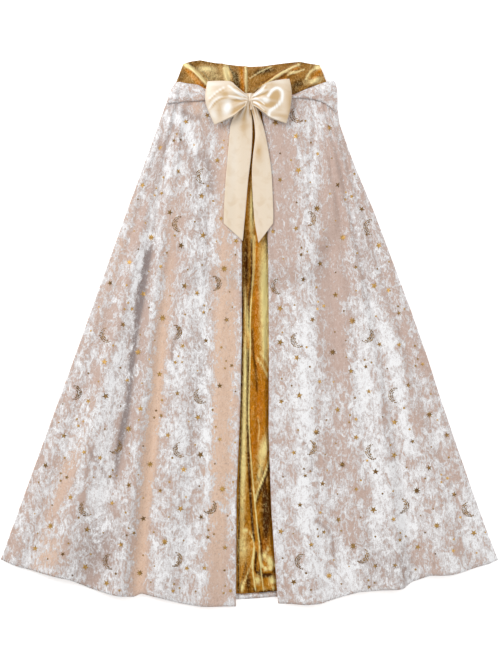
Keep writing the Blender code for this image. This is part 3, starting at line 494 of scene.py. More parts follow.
@dataclass(frozen=True)
class CapeForm:
    """The heights of the laid garment, the same as in the part's source, for arrays of places.

    Heights and thicknesses are in millimetres, and distances in the photo's pixels.
    """

    apex_u: float = 252.0
    apex_v: float = -126.0
    r_neck: float = 223.0
    r_hem: float = 731.0
    neck_v: float = 97.0
    back_thick: float = 1.6
    lining_floor: float = 1.9
    lining_thick: float = 1.0
    front_floor: float = 3.2
    front_thick: float = 1.8
    hood_gap: float = 0.6
    hood_thick: float = 1.4
    sewn_gap: float = 0.3
    band_half: float = 0.9
    band_belly: float = 1.2
    back_hem_short: float = 6.5
    deepest_crease: float = 0.9
    pouch_rise: float = 7.0
    pouch_end_r: float = 390.0

    def polar(self, u: Array, v: Array) -> tuple[Array, Array]:
        """Distance and angle from the fan's point.

        Args: u, v: places. Returns: the distances and the angles in degrees.
        """
        du, dv = np.asarray(u, float) - self.apex_u, np.asarray(v, float) - self.apex_v
        return np.hypot(du, dv), np.degrees(np.arctan2(du, dv))

    def place(self, radius: Array, angle: Array) -> tuple[Array, Array]:
        """The place at a distance and angle.

        Args: radius, angle: polar values. Returns: u and v.
        """
        turn = np.radians(angle)
        return self.apex_u + radius * np.sin(turn), self.apex_v + radius * np.cos(turn)

    def edge(self, places: Sequence[Place], radius: Array) -> Array:
        """The angle of an edge at some distances.

        Args: places: the edge; radius: the distances. Returns: the angles.
        """
        r, a = self.polar(*np.array(places, float).T)
        return np.interp(radius, r, a)

    def neck_radius(self, angle: Array) -> Array:
        """The neck line's distance. Args: angle: degrees. Returns: the distance."""
        return (self.neck_v - self.apex_v) / np.cos(np.radians(angle))

    def hem_radius(self, angle: Array) -> Array:
        """The fronts' hem. Args: angle: degrees. Returns: the distance."""
        r, a = self.polar(*np.array(HEM, float).T)
        return np.interp(angle, a, r)

    def back_hem_radius(self, angle: Array) -> Array:
        """The back's hem. Args: angle: degrees. Returns: the distance."""
        return self.hem_radius(angle) - self.back_hem_short * np.maximum(0.0, 1.0 - (angle / 20.0) ** 2)

    def ground(self, u: Array, v: Array) -> Array:
        """Height of the back's underside. Args: u, v: places. Returns: heights."""
        half, down = np.array(POUCH_HALF, float).T
        half = np.maximum(np.interp(v, down, half), 52.0) + 8.0
        radius = self.polar(u, v)[0]
        beside = soft(1.0 - np.maximum(np.abs(u - self.apex_u) - half, 0.0) / 20.0)
        below = soft(1.0 - np.maximum(radius - self.pouch_end_r, 0.0) / 30.0)
        above = soft(1.0 - np.maximum(74.0 - v, 0.0) / 13.0)
        return self.pouch_rise * beside * below * above

    def _eased(self, stations: list, angle: Array) -> Array:
        """Eased reading between stations. Args: stations: (angle, height) arrays; angle: where. Returns: heights."""
        z = stations[0][1] + 0 * angle
        for (a0, z0), (a1, z1) in zip(stations, stations[1:]):
            t = soft((angle - a0) / np.maximum(a1 - a0, 1e-9))
            z = np.where(angle >= a0, z0 + (z1 - z0) * t, z)
        return z

    def _lines(self, lines: Sequence[Line], s: Array) -> list:
        """Stations of a table's lines. Args: lines: the table; s: share of the length. Returns: the stations."""
        return [
            (through(k.neck, k.middle, k.hem, s),
             np.maximum(through(k.high_neck, k.high_middle, k.high_hem, s), 0.0))
            for k in lines
        ]

    def share(self, r: Array) -> Array:
        """Share of the way from neck to hem. Args: r: distances. Returns: 0 to 1."""
        return np.clip((r - self.r_neck) / (self.r_hem - self.r_neck), 0, 1)

    def folds(self, u: Array, v: Array) -> Array:
        """Height of the fronts' folds. Args: u, v: places. Returns: heights."""
        r, a = self.polar(u, v)
        s = self.share(r)
        lift, side = through(*EDGE_LIFT, s), through(*SIDE_LIFT, s)
        return self._eased(
            [(self.edge(SIDE_LEFT, r), side), *self._lines(LEFT_LINES, s), (self.edge(EDGE_LEFT, r), lift),
             (self.edge(EDGE_RIGHT, r), lift), *self._lines(RIGHT_LINES, s), (self.edge(SIDE_RIGHT, r), side)], a)

    def lining_folds(self, u: Array, v: Array) -> Array:
        """Height of the back lining's folds. Args: u, v: places. Returns: heights."""
        r, a = self.polar(u, v)
        s = self.share(r)
        return self._eased(
            [(self.edge(EDGE_LEFT, r), 0 * s), *self._lines(LINING_LINES, s), (self.edge(EDGE_RIGHT, r), 0 * s)], a)

    def creases(self, table: Sequence[Crease], u: Array, v: Array, add: bool) -> Array:
        """Height of creases.

        Args: table: the creases; u, v: places; add: whether they add up. Returns: heights.
        """
        total = np.zeros_like(u, dtype=float)
        for c in table:
            du, dv = c.u1 - c.u0, c.v1 - c.v0
            long = math.hypot(du, dv)
            t = ((u - c.u0) * du + (v - c.v0) * dv) / long**2
            off = np.abs((u - c.u0) * dv - (v - c.v0) * du) / long
            rise = c.high * soft(1.0 - off / c.half) * soft((t + 0.25) / 0.3) * soft((1.2 - t) / 0.35)
            total = total + rise if add else np.maximum(total, rise)
        return total

    def hood_under(self, u: Array, v: Array) -> Array:
        """Underside of the hood's lining. Args: u, v: places. Returns: heights."""
        crease = self.creases(HOOD_CREASES, u, v, False) * soft((95.0 - v) / 9.0)
        return self.ground(u, v) + self.hood_gap + crease

    def ripple(self, u: Array, v: Array, fine: float) -> Array:
        """Small uneven ripples that run down the cloth.

        Args: u, v: places; fine: height in millimetres. Returns: heights.
        """
        r, a = self.polar(u, v)
        x, y = np.radians(a) * 480.0, r
        # Each wave's pace across and along the cloth, and its start
        waves = ((0.21, 0.013, 0.3), (0.34, -0.021, 1.9), (0.13, 0.034, 4.1), (0.55, 0.05, 2.6), (0.09, -0.05, 5.3))
        total = sum(np.sin(x * kx + y * ky + ph + 1.3 * np.sin(y * 0.017 + ph * 2)) for kx, ky, ph in waves)
        return fine * total / 3.0 * soft((r - 235.0) / 60.0)

    def front_under(self, u: Array, v: Array) -> Array:
        """Underside of the fronts with their small creases. Args: u, v: places. Returns: heights."""
        small = self.creases(FRONT_CREASES, u, v, True) + self.ripple(u, v, 0.35)
        return self.ground(u, v) + self.front_floor + self.folds(u, v) + np.maximum(small, -self.deepest_crease)

    def front_top(self, u: Array, v: Array) -> Array:
        """Top of the fronts. Args: u, v: places. Returns: heights."""
        return self.front_under(u, v) + self.front_thick

    def band_under(self, u: Array, v: Array, t: Array) -> Array:
        """Underside of the band. Args: u, v: places; t: share across it. Returns: heights."""
        on_lining = self.hood_under(u, v) + self.hood_thick + self.sewn_gap + self.band_half
        on_front = self.ground(u, v) + self.front_floor + self.front_thick + self.sewn_gap + self.band_half
        on_front = on_front + self.folds(u, np.maximum(v, self.neck_v))
        return on_lining + (on_front - on_lining) * soft(t / 0.42) + self.band_belly * np.sin(math.pi * t)


FORM = CapeForm()


def patches(table: Sequence[Patch], u: Array, v: Array) -> Array:
    """The summed tone of soft patches. Args: table; u, v: places. Returns: amounts."""
    total = np.zeros_like(u, dtype=float)
    for p in table:
        dv = v - p.v
        du = u - p.u - p.lean * dv
        total += p.amount * np.exp(-((du / p.half_u) ** 2) - (dv / p.half_v) ** 2)
    return total


def trails(table: Sequence[Trail], u: Array, v: Array) -> Array:
    """The summed tone of soft lines. Args: table; u, v: places. Returns: amounts."""
    total = np.zeros_like(u, dtype=float)
    for trail in table:
        curve = smooth_rows(np.array(trail.places, float), 8 * len(trail.places))
        near = np.full(u.shape, 1e9)
        for (u0, v0), (u1, v1) in zip(curve[:-1], curve[1:]):
            du, dv = u1 - u0, v1 - v0
            t = np.clip(((u - u0) * du + (v - v0) * dv) / max(du * du + dv * dv, 1e-9), 0, 1)
            near = np.minimum(near, (u - u0 - t * du) ** 2 + (v - v0 - t * dv) ** 2)
        total += trail.amount * np.exp(-near / trail.half**2)
    return total


# Finishes


class Socket(Enum):
    """Kinds of socket that a node group has."""

    VALUE = "NodeSocketFloat"
    VECTOR = "NodeSocketVector"


@dataclass
class Graph:
    """A small helper that adds and joins shader nodes."""

    tree: bpy.types.NodeTree

    def add(self, kind: str, inputs: dict | None = None, **settings: object) -> bpy.types.Node:
        """Adds a node.

        Args: kind: its type; inputs: values or sockets by name or number; settings: its properties.
        Returns: the node.
        """
        node = self.tree.nodes.new(kind)
        for key, value in settings.items():
            setattr(node, key, value)
        return self.put(node, inputs or {})

    def put(self, node: bpy.types.Node, inputs: dict) -> bpy.types.Node:
        """Sets a node's inputs. Args: node; inputs: values or sockets by name or number. Returns: the node."""
        for key, value in inputs.items():
            if isinstance(value, bpy.types.NodeSocket):
                self.tree.links.new(value, node.inputs[key])
            else:
                node.inputs[key].default_value = value
        return node

    def math(self, operation: str, a: object, b: object = 0.0, clamp: bool = False) -> bpy.types.NodeSocket:
        """A math node. Args: operation; a, b: its inputs; clamp. Returns: its output."""
        return self.add("ShaderNodeMath", {0: a, 1: b}, operation=operation, use_clamp=clamp).outputs[0]

    def times(self, a: object, b: object, clamp: bool = False) -> bpy.types.NodeSocket:
        """A product. Args: a, b: its inputs; clamp. Returns: its output."""
        return self.math("MULTIPLY", a, b, clamp)

    def plus(self, a: object, b: object, clamp: bool = False) -> bpy.types.NodeSocket:
        """A sum. Args: a, b: its inputs; clamp. Returns: its output."""
        return self.math("ADD", a, b, clamp)

    def stretch(self, vector: object, scale: tuple) -> bpy.types.NodeSocket:
        """A vector scaled along its axes. Args: vector; scale. Returns: it."""
        return self.add("ShaderNodeVectorMath", {0: vector, 1: scale}, operation="MULTIPLY").outputs[0]

    def bump(self, height: object, strength: float, distance: float) -> bpy.types.NodeSocket:
        """A bumped normal. Args: height; strength; distance: in metres. Returns: it."""
        return self.add("ShaderNodeBump",
                        {"Height": height, "Strength": strength, "Distance": distance}).outputs[0]

    def cloth(self) -> bpy.types.NodeSocket:
        """The places on the cloth, in metres. Returns: their socket."""
        return self.add("ShaderNodeUVMap", uv_map="cloth").outputs[0]

    def shared(self, group: bpy.types.NodeTree, inputs: dict) -> bpy.types.bpy_prop_collection:
        """A shared node group. Args: group; inputs: by name. Returns: its outputs."""
        node = self.add("ShaderNodeGroup", node_tree=group)
        return self.put(node, inputs).outputs

    def mix(self, share: object, a: object, b: object) -> bpy.types.NodeSocket:
        """A colour mix. Args: share; a, b: colours. Returns: the mixed colour."""
        return self.add("ShaderNodeMix", {0: share, 6: a, 7: b}, data_type="RGBA").outputs[2]

    def ramp(self, value: object, low: float, high: float) -> bpy.types.NodeSocket:
        """A smooth step. Args: value; low, high: its ends. Returns: 0 to 1."""
        return self.add("ShaderNodeMapRange", {0: value, 1: low, 2: high},
                        interpolation_type="SMOOTHSTEP").outputs[0]

    def attribute(self, name: str) -> bpy.types.NodeSocket:
        """A mesh attribute. Args: name. Returns: its value."""
        return self.add("ShaderNodeAttribute", attribute_name=name).outputs["Fac"]

    def noise(self, vector: object, scale: float, detail: float = 3.0, rough: float = 0.6,
              warp: float = 0.0) -> bpy.types.NodeSocket:
        """A noise texture. Args: vector; scale; detail; rough; warp. Returns: its value."""
        return self.add("ShaderNodeTexNoise", {"Vector": vector, "Scale": scale, "Detail": detail,
                                               "Roughness": rough, "Distortion": warp}).outputs[0]


def new_group(name: str, inputs: dict[str, Socket], outputs: dict[str, Socket]) -> tuple[bpy.types.NodeTree, Graph]:
    """Makes an empty node group.

    Args: name; inputs and outputs: sockets by name. Returns: the group and its helper.
    """
    tree = bpy.data.node_groups.new(name, "ShaderNodeTree")
    for label, kind in inputs.items():
        tree.interface.new_socket(name=label, in_out="INPUT", socket_type=kind.value)
    for label, kind in outputs.items():
        tree.interface.new_socket(name=label, in_out="OUTPUT", socket_type=kind.value)
    return tree, Graph(tree)


def crush_sheen_group() -> bpy.types.NodeTree:
    """The shared crush of velvet: feathery patches where the pile lies over, which carry its painted sheen.

    Returns: the group, with Vector and Tone in, and out the crush with its painted sheen, the snow of the brightest
    painted sheen, the rim of painted highlight, Mottle and Grain.
    """
    found = bpy.data.node_groups.get("VelvetCrushSheen")
    if found:
        return found
    tree, g = new_group("VelvetCrushSheen", {"Vector": Socket.VECTOR, "Tone": Socket.VALUE},
                        dict.fromkeys(("CrushSheen", "SnowSheen", "RimHighlight", "Mottle", "Grain"), Socket.VALUE))
    inside = g.add("NodeGroupInput")
    # The pile's streaks run down the cloth, so the pattern is longer that way
    streak = g.stretch(inside.outputs["Vector"], (1.0, 0.68, 1.0))
    fibres = g.stretch(inside.outputs["Vector"], (1.0, 0.16, 1.0))
    # Each noise's space, scale, detail, roughness, warp and share: wide, patchy, feathery and fibrous
    layers = ((streak, 42.0, 2.0, 0.5, 0.8, 0.5), (streak, 122.0, 5.0, 0.7, 1.2, 1.2),
              (streak, 450.0, 5.0, 0.75, 1.0, 0.88), (fibres, 760.0, 3.0, 0.65, 0.5, 0.4))
    parts = [g.times(g.noise(*noise), share) for *noise, share in layers]
    total = reduce(g.plus, [*parts, g.times(inside.outputs["Tone"], 0.17)])
    grain = g.noise(inside.outputs["Vector"], 1100.0, 3.0, 0.7, 0.4)
    crush_sheen = g.ramp(total, 1.395, 1.53)
    sharp = g.plus(total, g.times(g.math("SUBTRACT", grain, 0.5), 0.5))
    snow_sheen = g.ramp(sharp, 1.54, 1.73)
    # Each crushed patch has a thin painted highlight along its rim
    away = g.math("ABSOLUTE", g.math("SUBTRACT", total, 1.46))
    rim = g.ramp(away, 0.035, 0.0)
    mottle = g.noise(streak, 330.0, 5.0, 0.75, 1.4)
    g.add("NodeGroupOutput", {"CrushSheen": crush_sheen, "SnowSheen": snow_sheen, "RimHighlight": rim, "Mottle": mottle, "Grain": grain})
    return tree


def lame_group() -> bpy.types.NodeTree:
    """The shared crinkle of lame cloth.

    Returns: the group, with Vector in, and Crinkle and Speck out.
    """
    found = bpy.data.node_groups.get("LameCrinkle")
    if found:
        return found
    tree, g = new_group("LameCrinkle", {"Vector": Socket.VECTOR}, {"Crinkle": Socket.VALUE, "Speck": Socket.VALUE})
    inside = g.add("NodeGroupInput")
    across = g.stretch(inside.outputs["Vector"], (1.5, 0.9, 1.0))
    crinkle = g.noise(across, 170.0, 5.0, 0.62, 1.6)
    speck = g.noise(inside.outputs["Vector"], 1000.0, 3.0, 0.8, 0.3)
    g.add("NodeGroupOutput", {"Crinkle": crinkle, "Speck": speck})
    return tree


def start_material(name: str) -> tuple[bpy.types.Material, Graph, bpy.types.Node]:
    """A new node material.

    Args: name. Returns: the material, a helper for its nodes, and its Principled shader.
    """
    made = bpy.data.materials.new(name)
    made.use_nodes = True
    return made, Graph(made.node_tree), made.node_tree.nodes["Principled BSDF"]


@dataclass(frozen=True)
class VelvetFinish:
    """Crushed velvet: bare blush pile with painted peach and grey shade, under a feathery crush painted as white
    sheen.
    """

    # Blush is the pile's own colour; peach and grey are painted shade, dusk a random darker fleck, and silver, white
    # and gleam are painted sheen and highlight
    blush: tuple = (202, 176, 163)
    peach_shade: tuple = (229, 196, 171)
    grey_shade: tuple = (140, 127, 124)
    dusk: tuple = (166, 142, 130)
    silver_sheen: tuple = (203, 196, 194)
    white: tuple = (228, 225, 225)
    gleam: tuple = (250, 250, 251)
    roughness: float = 0.85
    sheen: float = 0.15

    def material(self, name: str) -> bpy.types.Material:
        """Makes the material. Args: name. Returns: it."""
        made, g, shader = start_material(name)
        outputs = g.shared(crush_sheen_group(), {"Vector": g.cloth(), "Tone": g.attribute("crush_sheen")})
        crush_sheen, snow_sheen, rim, mottle, grain = (outputs[k] for k in ("CrushSheen", "SnowSheen", "RimHighlight", "Mottle", "Grain"))
        # The bare pile's blush, with painted warm peach shade and then painted grey shade
        pile = g.mix(g.times(g.attribute("peach_shade"), 1.0, True), linear(self.blush), linear(self.peach_shade))
        pile = g.mix(g.times(g.attribute("grey_shade"), 0.9, True), pile, linear(self.grey_shade))
        pile = g.mix(g.times(g.ramp(mottle, 0.5, 0.36), 0.45), pile, linear(self.dusk))
        # Flecks of painted white sheen in the bare pile
        pile = g.mix(g.times(g.ramp(mottle, 0.52, 0.66), 0.4), pile, linear(self.white))
        # In the crush, painted sheen of silver and white with painted grey shade, and the snow painted as highlight
        silver_sheen = g.mix(g.ramp(mottle, 0.38, 0.54), linear(self.silver_sheen), linear(self.white))
        silver_sheen = g.mix(g.times(g.attribute("grey_shade"), 0.45, True), silver_sheen, linear(self.grey_shade))
        bright = g.mix(g.ramp(mottle, 0.3, 0.45), linear(self.white), linear(self.gleam))
        colour = g.mix(g.times(crush_sheen, 0.94), pile, silver_sheen)
        colour = g.mix(snow_sheen, colour, bright)
        # A painted highlight along the rim of each crushed patch
        colour = g.mix(g.times(rim, 0.3), colour, linear(self.gleam))
        colour = g.mix(g.times(g.ramp(grain, 0.48, 0.32), 0.3), colour, linear(self.dusk))
        g.put(shader, {"Base Color": colour, "Roughness": self.roughness, "Sheen Weight": self.sheen,
                       "Sheen Roughness": 0.4, "Normal": g.bump(g.plus(g.times(crush_sheen, 0.6), grain), 0.45, 0.0009)})
        return made


@dataclass(frozen=True)
class LameFinish:
    """Gold lame: painted shade, painted warm shade and painted highlights that follow the folds, with a crinkled
    shine from its bump and painted sparkle.
    """

    # Colours of the painted shade, the gold itself, the painted warm shade and the painted highlights
    painted_shade: tuple = (78, 38, 0)
    middle: tuple = (200, 132, 24)
    orange: tuple = (198, 116, 0)
    bright: tuple = (255, 238, 164)
    roughness: float = 0.3
    metallic: float = 0.65

    def material(self, name: str) -> bpy.types.Material:
        """Makes the material. Args: name. Returns: it."""
        made, g, shader = start_material(name)
        outputs = g.shared(lame_group(), {"Vector": g.cloth()})
        crinkle, speck = outputs["Crinkle"], outputs["Speck"]
        wave = g.math("SUBTRACT", crinkle, 0.5)
        fine = g.math("SUBTRACT", speck, 0.5)
        # Painted warm shade, painted shade and painted highlights, broken by the crinkle, with painted sparkle and
        # specks of shade from the fine noise
        orange = g.plus(g.attribute("orange"), g.times(wave, 1.2), True)
        painted_shade = g.plus(g.times(g.attribute("painted_shade"), 1.25), g.times(wave, -1.5))
        painted_shade = g.math("SUBTRACT", painted_shade, g.times(fine, 1.1), True)
        bright = g.plus(g.times(g.attribute("bright"), 1.25), g.times(wave, 1.5))
        bright = g.plus(bright, fine, True)
        colour = g.mix(orange, linear(self.middle), linear(self.orange))
        colour = g.mix(painted_shade, colour, linear(self.painted_shade))
        colour = g.mix(g.times(bright, 0.95), colour, linear(self.bright))
        g.put(shader, {"Base Color": colour, "Metallic": self.metallic, "Specular IOR Level": 0.1,
                       "Roughness": self.roughness,
                       "Normal": g.bump(g.plus(crinkle, g.times(speck, 0.35)), 0.8, 0.0024)})
        return made


@dataclass(frozen=True)
class SatinFinish:
    """Cream satin ribbon with a fine cross weave and a soft gloss, with painted shade and painted gloss highlights.
    """

    cream: tuple = (234, 217, 194)
    # The shade colour is painted shade, and the gloss colour painted highlight
    shade: tuple = (205, 170, 120)
    gloss: tuple = (1.0, 0.985, 0.94, 1.0)
    roughness: float = 0.32

    def material(self, name: str) -> bpy.types.Material:
        """Makes the material. Args: name. Returns: it."""
        made, g, shader = start_material(name)
        cloth = g.cloth()
        threads = g.add("ShaderNodeTexWave", {"Vector": cloth, "Scale": 900.0, "Distortion": 0.6, "Detail": 1.0},
                        bands_direction="Y").outputs["Fac"]
        drift = g.noise(cloth, 90.0, 2.0, 0.5, 0.6)
        # Painted shade with a random drift, then painted gloss highlights
        shade = g.plus(g.times(g.ramp(drift, 0.45, 0.7), 0.25), g.attribute("painted_shade"), True)
        colour = g.mix(shade, linear(self.cream), linear(self.shade))
        colour = g.mix(g.times(g.attribute("bright"), 0.9, True), colour, self.gloss)
        g.put(shader, {"Base Color": colour, "Roughness": self.roughness, "Sheen Weight": 0.15,
                       "Normal": g.bump(threads, 0.08, 0.0002)})
        return made


@dataclass(frozen=True)
class FoilFinish:
    """Gold foil print: each motif between light gold and a worn brown."""

    light: tuple = (218, 172, 96)
    worn: tuple = (116, 86, 48)

    def material(self, name: str) -> bpy.types.Material:
        """Makes the material. Args: name. Returns: it."""
        made, g, shader = start_material(name)
        where = g.add("ShaderNodeTexCoord").outputs["Object"]
        spot = g.ramp(g.noise(where, 420.0, 3.0), 0.42, 0.6)
        share = g.plus(g.times(g.attribute("shade"), 0.8), g.times(spot, 0.5), True)
        g.put(shader, {"Base Color": g.mix(share, linear(self.light), linear(self.worn)), "Roughness": 0.38,
                       "Metallic": 0.5})
        return made


@dataclass(frozen=True)
class ThreadFinish:
    """Sewing thread."""

    colour: tuple = (214, 168, 84)

    def material(self, name: str) -> bpy.types.Material:
        """Makes the material. Args: name. Returns: it."""
        made, g, shader = start_material(name)
        cord = g.noise(g.add("ShaderNodeTexCoord").outputs["Object"], 900.0, 2.0)
        dim = linear([c * 0.75 for c in self.colour])
        g.put(shader, {"Base Color": g.mix(g.ramp(cord, 0.4, 0.6), linear(self.colour), dim), "Roughness": 0.6})
        return made


# Mesh building


def metres(u: Array, v: Array, z: Array) -> Array:
    """Pixels and millimetres as metres. Args: u, v, z. Returns: points with three values."""
    return np.stack([(u - MIDDLE.u) * PX, (MIDDLE.v - v) * PX, z * MM], axis=-1)


def add_mesh(name: str, points: list, faces: list, material: bpy.types.Material) -> bpy.types.Object:
    """Makes an object and links it. Args: name; points; faces; material. Returns: it."""
    mesh = bpy.data.meshes.new(name)
    mesh.from_pydata(points, [], faces)
    mesh.materials.append(material)
    made = bpy.data.objects.new(name, mesh)
    bpy.context.scene.collection.objects.link(made)
    return made


def add_tone(mesh: bpy.types.Mesh, name: str, values: Array) -> None:
    """Adds a tone for each point. Args: mesh; name; values."""
    mesh.attributes.new(name, "FLOAT", "POINT").data.foreach_set("value", values.astype(np.float32).ravel())


@dataclass
class Shell:
    """A piece of cloth as a grid of points with a thickness below it."""

    name: str
    node: str
    slot: str
    thick_mm: float
    points: Array
    cloth: Array
    tones: dict[str, Array] = field(default_factory=dict)
    closed: bool = False

    def build(self, outside: bpy.types.Material, inside: bpy.types.Material | None = None) -> bpy.types.Object:
        """Makes the object.

        Args: outside: its finish; inside: the finish of its hidden face. Returns: the object.
        """
        rows, cols = self.points.shape[:2]
        index = np.arange(rows * cols).reshape(rows, cols)
        a, b, c, d = index[:-1, :-1], index[:-1, 1:], index[1:, 1:], index[1:, :-1]
        quads = np.stack([a, d, c, b], axis=-1).reshape(-1, 4)
        flat = self.points.reshape(-1, 3)
        normal = np.cross(flat[quads[:, 1]] - flat[quads[:, 0]], flat[quads[:, 3]] - flat[quads[:, 0]])
        # A closed piece faces away from its middle, and an open one faces up
        outwards = flat[quads[:, 0]] - flat.mean(axis=0) if self.closed else np.array([0, 0, 1.0])
        if (normal * outwards).sum() < 0:
            quads = quads[:, ::-1]
        made = add_mesh(self.name, flat.tolist(), quads.tolist(), outside)
        mesh = made.data
        layer = mesh.uv_layers.new(name="cloth")
        loops = np.zeros(len(mesh.loops), dtype=np.int32)
        mesh.loops.foreach_get("vertex_index", loops)
        layer.data.foreach_set("uv", self.cloth.reshape(-1, 2)[loops].astype(np.float32).ravel())
        for key, value in self.tones.items():
            add_tone(mesh, key, value)
        mesh.shade_smooth()
        mesh.materials.append(inside or outside)
        solid = made.modifiers.new("thickness", "SOLIDIFY")
        solid.thickness = self.thick_mm * MM
        solid.offset = -1.0
        solid.material_offset = 1
        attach(made, "root")
        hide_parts(self.node)
        return made


def cloth_uv(u: Array, v: Array) -> Array:
    """Texture places that follow the cloth, in metres. Args: u, v: places. Returns: pairs."""
    r, a = FORM.polar(u, v)
    across = np.radians(a) * (0.45 * r * PX + 0.42)
    # The pile's pattern is finer near the neck
    return np.stack([across, (1.5 * r - 0.0005 * r * r) * PX], axis=-1)


def velvet_tones(u: Array, v: Array) -> dict[str, Array]:
    """The velvet's painted sheen, painted peach shade and painted grey shade. Args: u, v: places. Returns:
    attributes by name.
    """
    return {"crush_sheen": patches(CRUSH_SHEEN, u, v) + trails(BARE_LINES, u, v), "peach_shade": patches(PEACH_SHADE, u, v),
            "grey_shade": patches(GREY_SHADE, u, v) + trails(GREY_SHADE_LINES, u, v)}


def photo_uv(u: Array, v: Array, down: float = 1.0) -> Array:
    """Texture places as they lie in the photo. Args: u, v: places; down: stretch downwards. Returns: pairs."""
    return np.stack([u * PX, v * PX * down], axis=-1)


def gold_tones(u: Array, v: Array) -> dict[str, Array]:
    """The gold's painted shade, painted warm shade and painted highlights. Args: u, v: places. Returns: attributes
    by name.
    """
    return {"painted_shade": patches(GOLD_DARK_SHADE, u, v) + trails(GOLD_SHADE, u, v),
            "orange": patches(GOLD_ORANGE, u, v) + trails(GOLD_WARM, u, v),
            "bright": patches(GOLD_HIGHLIGHT, u, v) + trails(GOLD_LINES, u, v)}


@dataclass(frozen=True)
class Finishes:
    """The materials of all the pieces."""

    velvet: bpy.types.Material
    gold: bpy.types.Material
    hood_gold: bpy.types.Material
    satin: bpy.types.Material
    foil: bpy.types.Material
    thread: bpy.types.Material


@dataclass
class BackPanel:
    """The velvet back, with its turned-up hem, and its gold lining. Insets are in the photo's pixels."""

    columns: int = 90
    rows: int = 150
    fine_columns: int = 110
    side_inset: float = 1.76
    hem_turn: float = 5.6
    hem_turn_mm: float = 1.35
    hem_stitch: float = 4.4
    lining_short: float = 5.8

    def _angles(self, r: Array, shares: Array) -> Array:
        """Angles across the back. Args: r: distances; shares: 0 to 1. Returns: angles."""
        left = FORM.edge(SIDE_LEFT, r) + np.degrees(self.side_inset / r)
        right = FORM.edge(SIDE_RIGHT, r) - np.degrees(self.side_inset / r)
        return left + (right - left) * shares

    def _grid(self, shares: Array, end: Callable[[Array], Array]) -> tuple[Array, Array]:
        """Places over the back. Args: shares: columns; end: the last row's distance. Returns: u and v."""
        q = np.linspace(0, 1, self.rows)[:, None]
        angle = self._angles(FORM.r_neck + q * (FORM.r_hem - FORM.r_neck), shares[None, :])
        r = FORM.neck_radius(angle) * (1 - q) + end(angle) * q
        return FORM.place(r, angle)

    def build_back(self, finishes: Finishes) -> bpy.types.Object:
        """The velvet panel. Args: finishes. Returns: it."""
        u, v = self._grid(np.linspace(0, 1, self.columns), FORM.back_hem_radius)
        r, a = FORM.polar(u, v)
        turned = soft((r - (FORM.back_hem_radius(a) - self.hem_turn)) / 0.8)
        z = FORM.ground(u, v) + FORM.back_thick + turned * self.hem_turn_mm
        shell = Shell("back_velvet_cloth", "back_panel", "back_velvet", 1.6, metres(u, v, z), cloth_uv(u, v),
                      velvet_tones(u, v))
        made = shell.build(finishes.velvet)
        return made

    def build_lining(self, finishes: Finishes) -> bpy.types.Object:
        """The gold lining. Args: finishes. Returns: it."""
        # The columns stand closer together in the opening, where the gold shows
        shares = np.concatenate([np.linspace(0, 0.43, 16)[:-1], np.linspace(0.43, 0.58, self.fine_columns),
                                 np.linspace(0.58, 1, 16)[1:]])
        u, v = self._grid(shares, lambda a: FORM.back_hem_radius(a) - self.lining_short)
        folds = FORM.lining_folds(u, v)
        # Small crinkles, a slanting one over them, and crumples near the hem
        crinkle = 0.16 * np.sin(v * 0.62 + 2.2 * np.sin(u * 0.31)) * np.sin(u * 0.9 + v * 0.07)
        crumple = np.sin(u * 0.75 - v * 0.33) * np.sin(v * 0.42 + 1.4 * np.sin(u * 0.4)) + 0.6 * np.sin(u + v * 0.9)
        slant = np.sin(u * 0.5 + v * 0.21 + 1.7 * np.sin(v * 0.083)) * np.sin(v * 0.11 - u * 0.35 + 0.8)
        crinkle = crinkle + 0.45 * crumple * soft((v - 535) / 30) + 0.55 * slant
        z = FORM.ground(u, v) + FORM.lining_floor + FORM.lining_thick + folds + crinkle * soft(folds / 0.4)
        shell = Shell("back_gold_cloth", "back_lining", "back_gold", 0.9, metres(u, v, z), cloth_uv(u, v),
                      gold_tones(u, v))
        made = shell.build(finishes.gold)
        return made


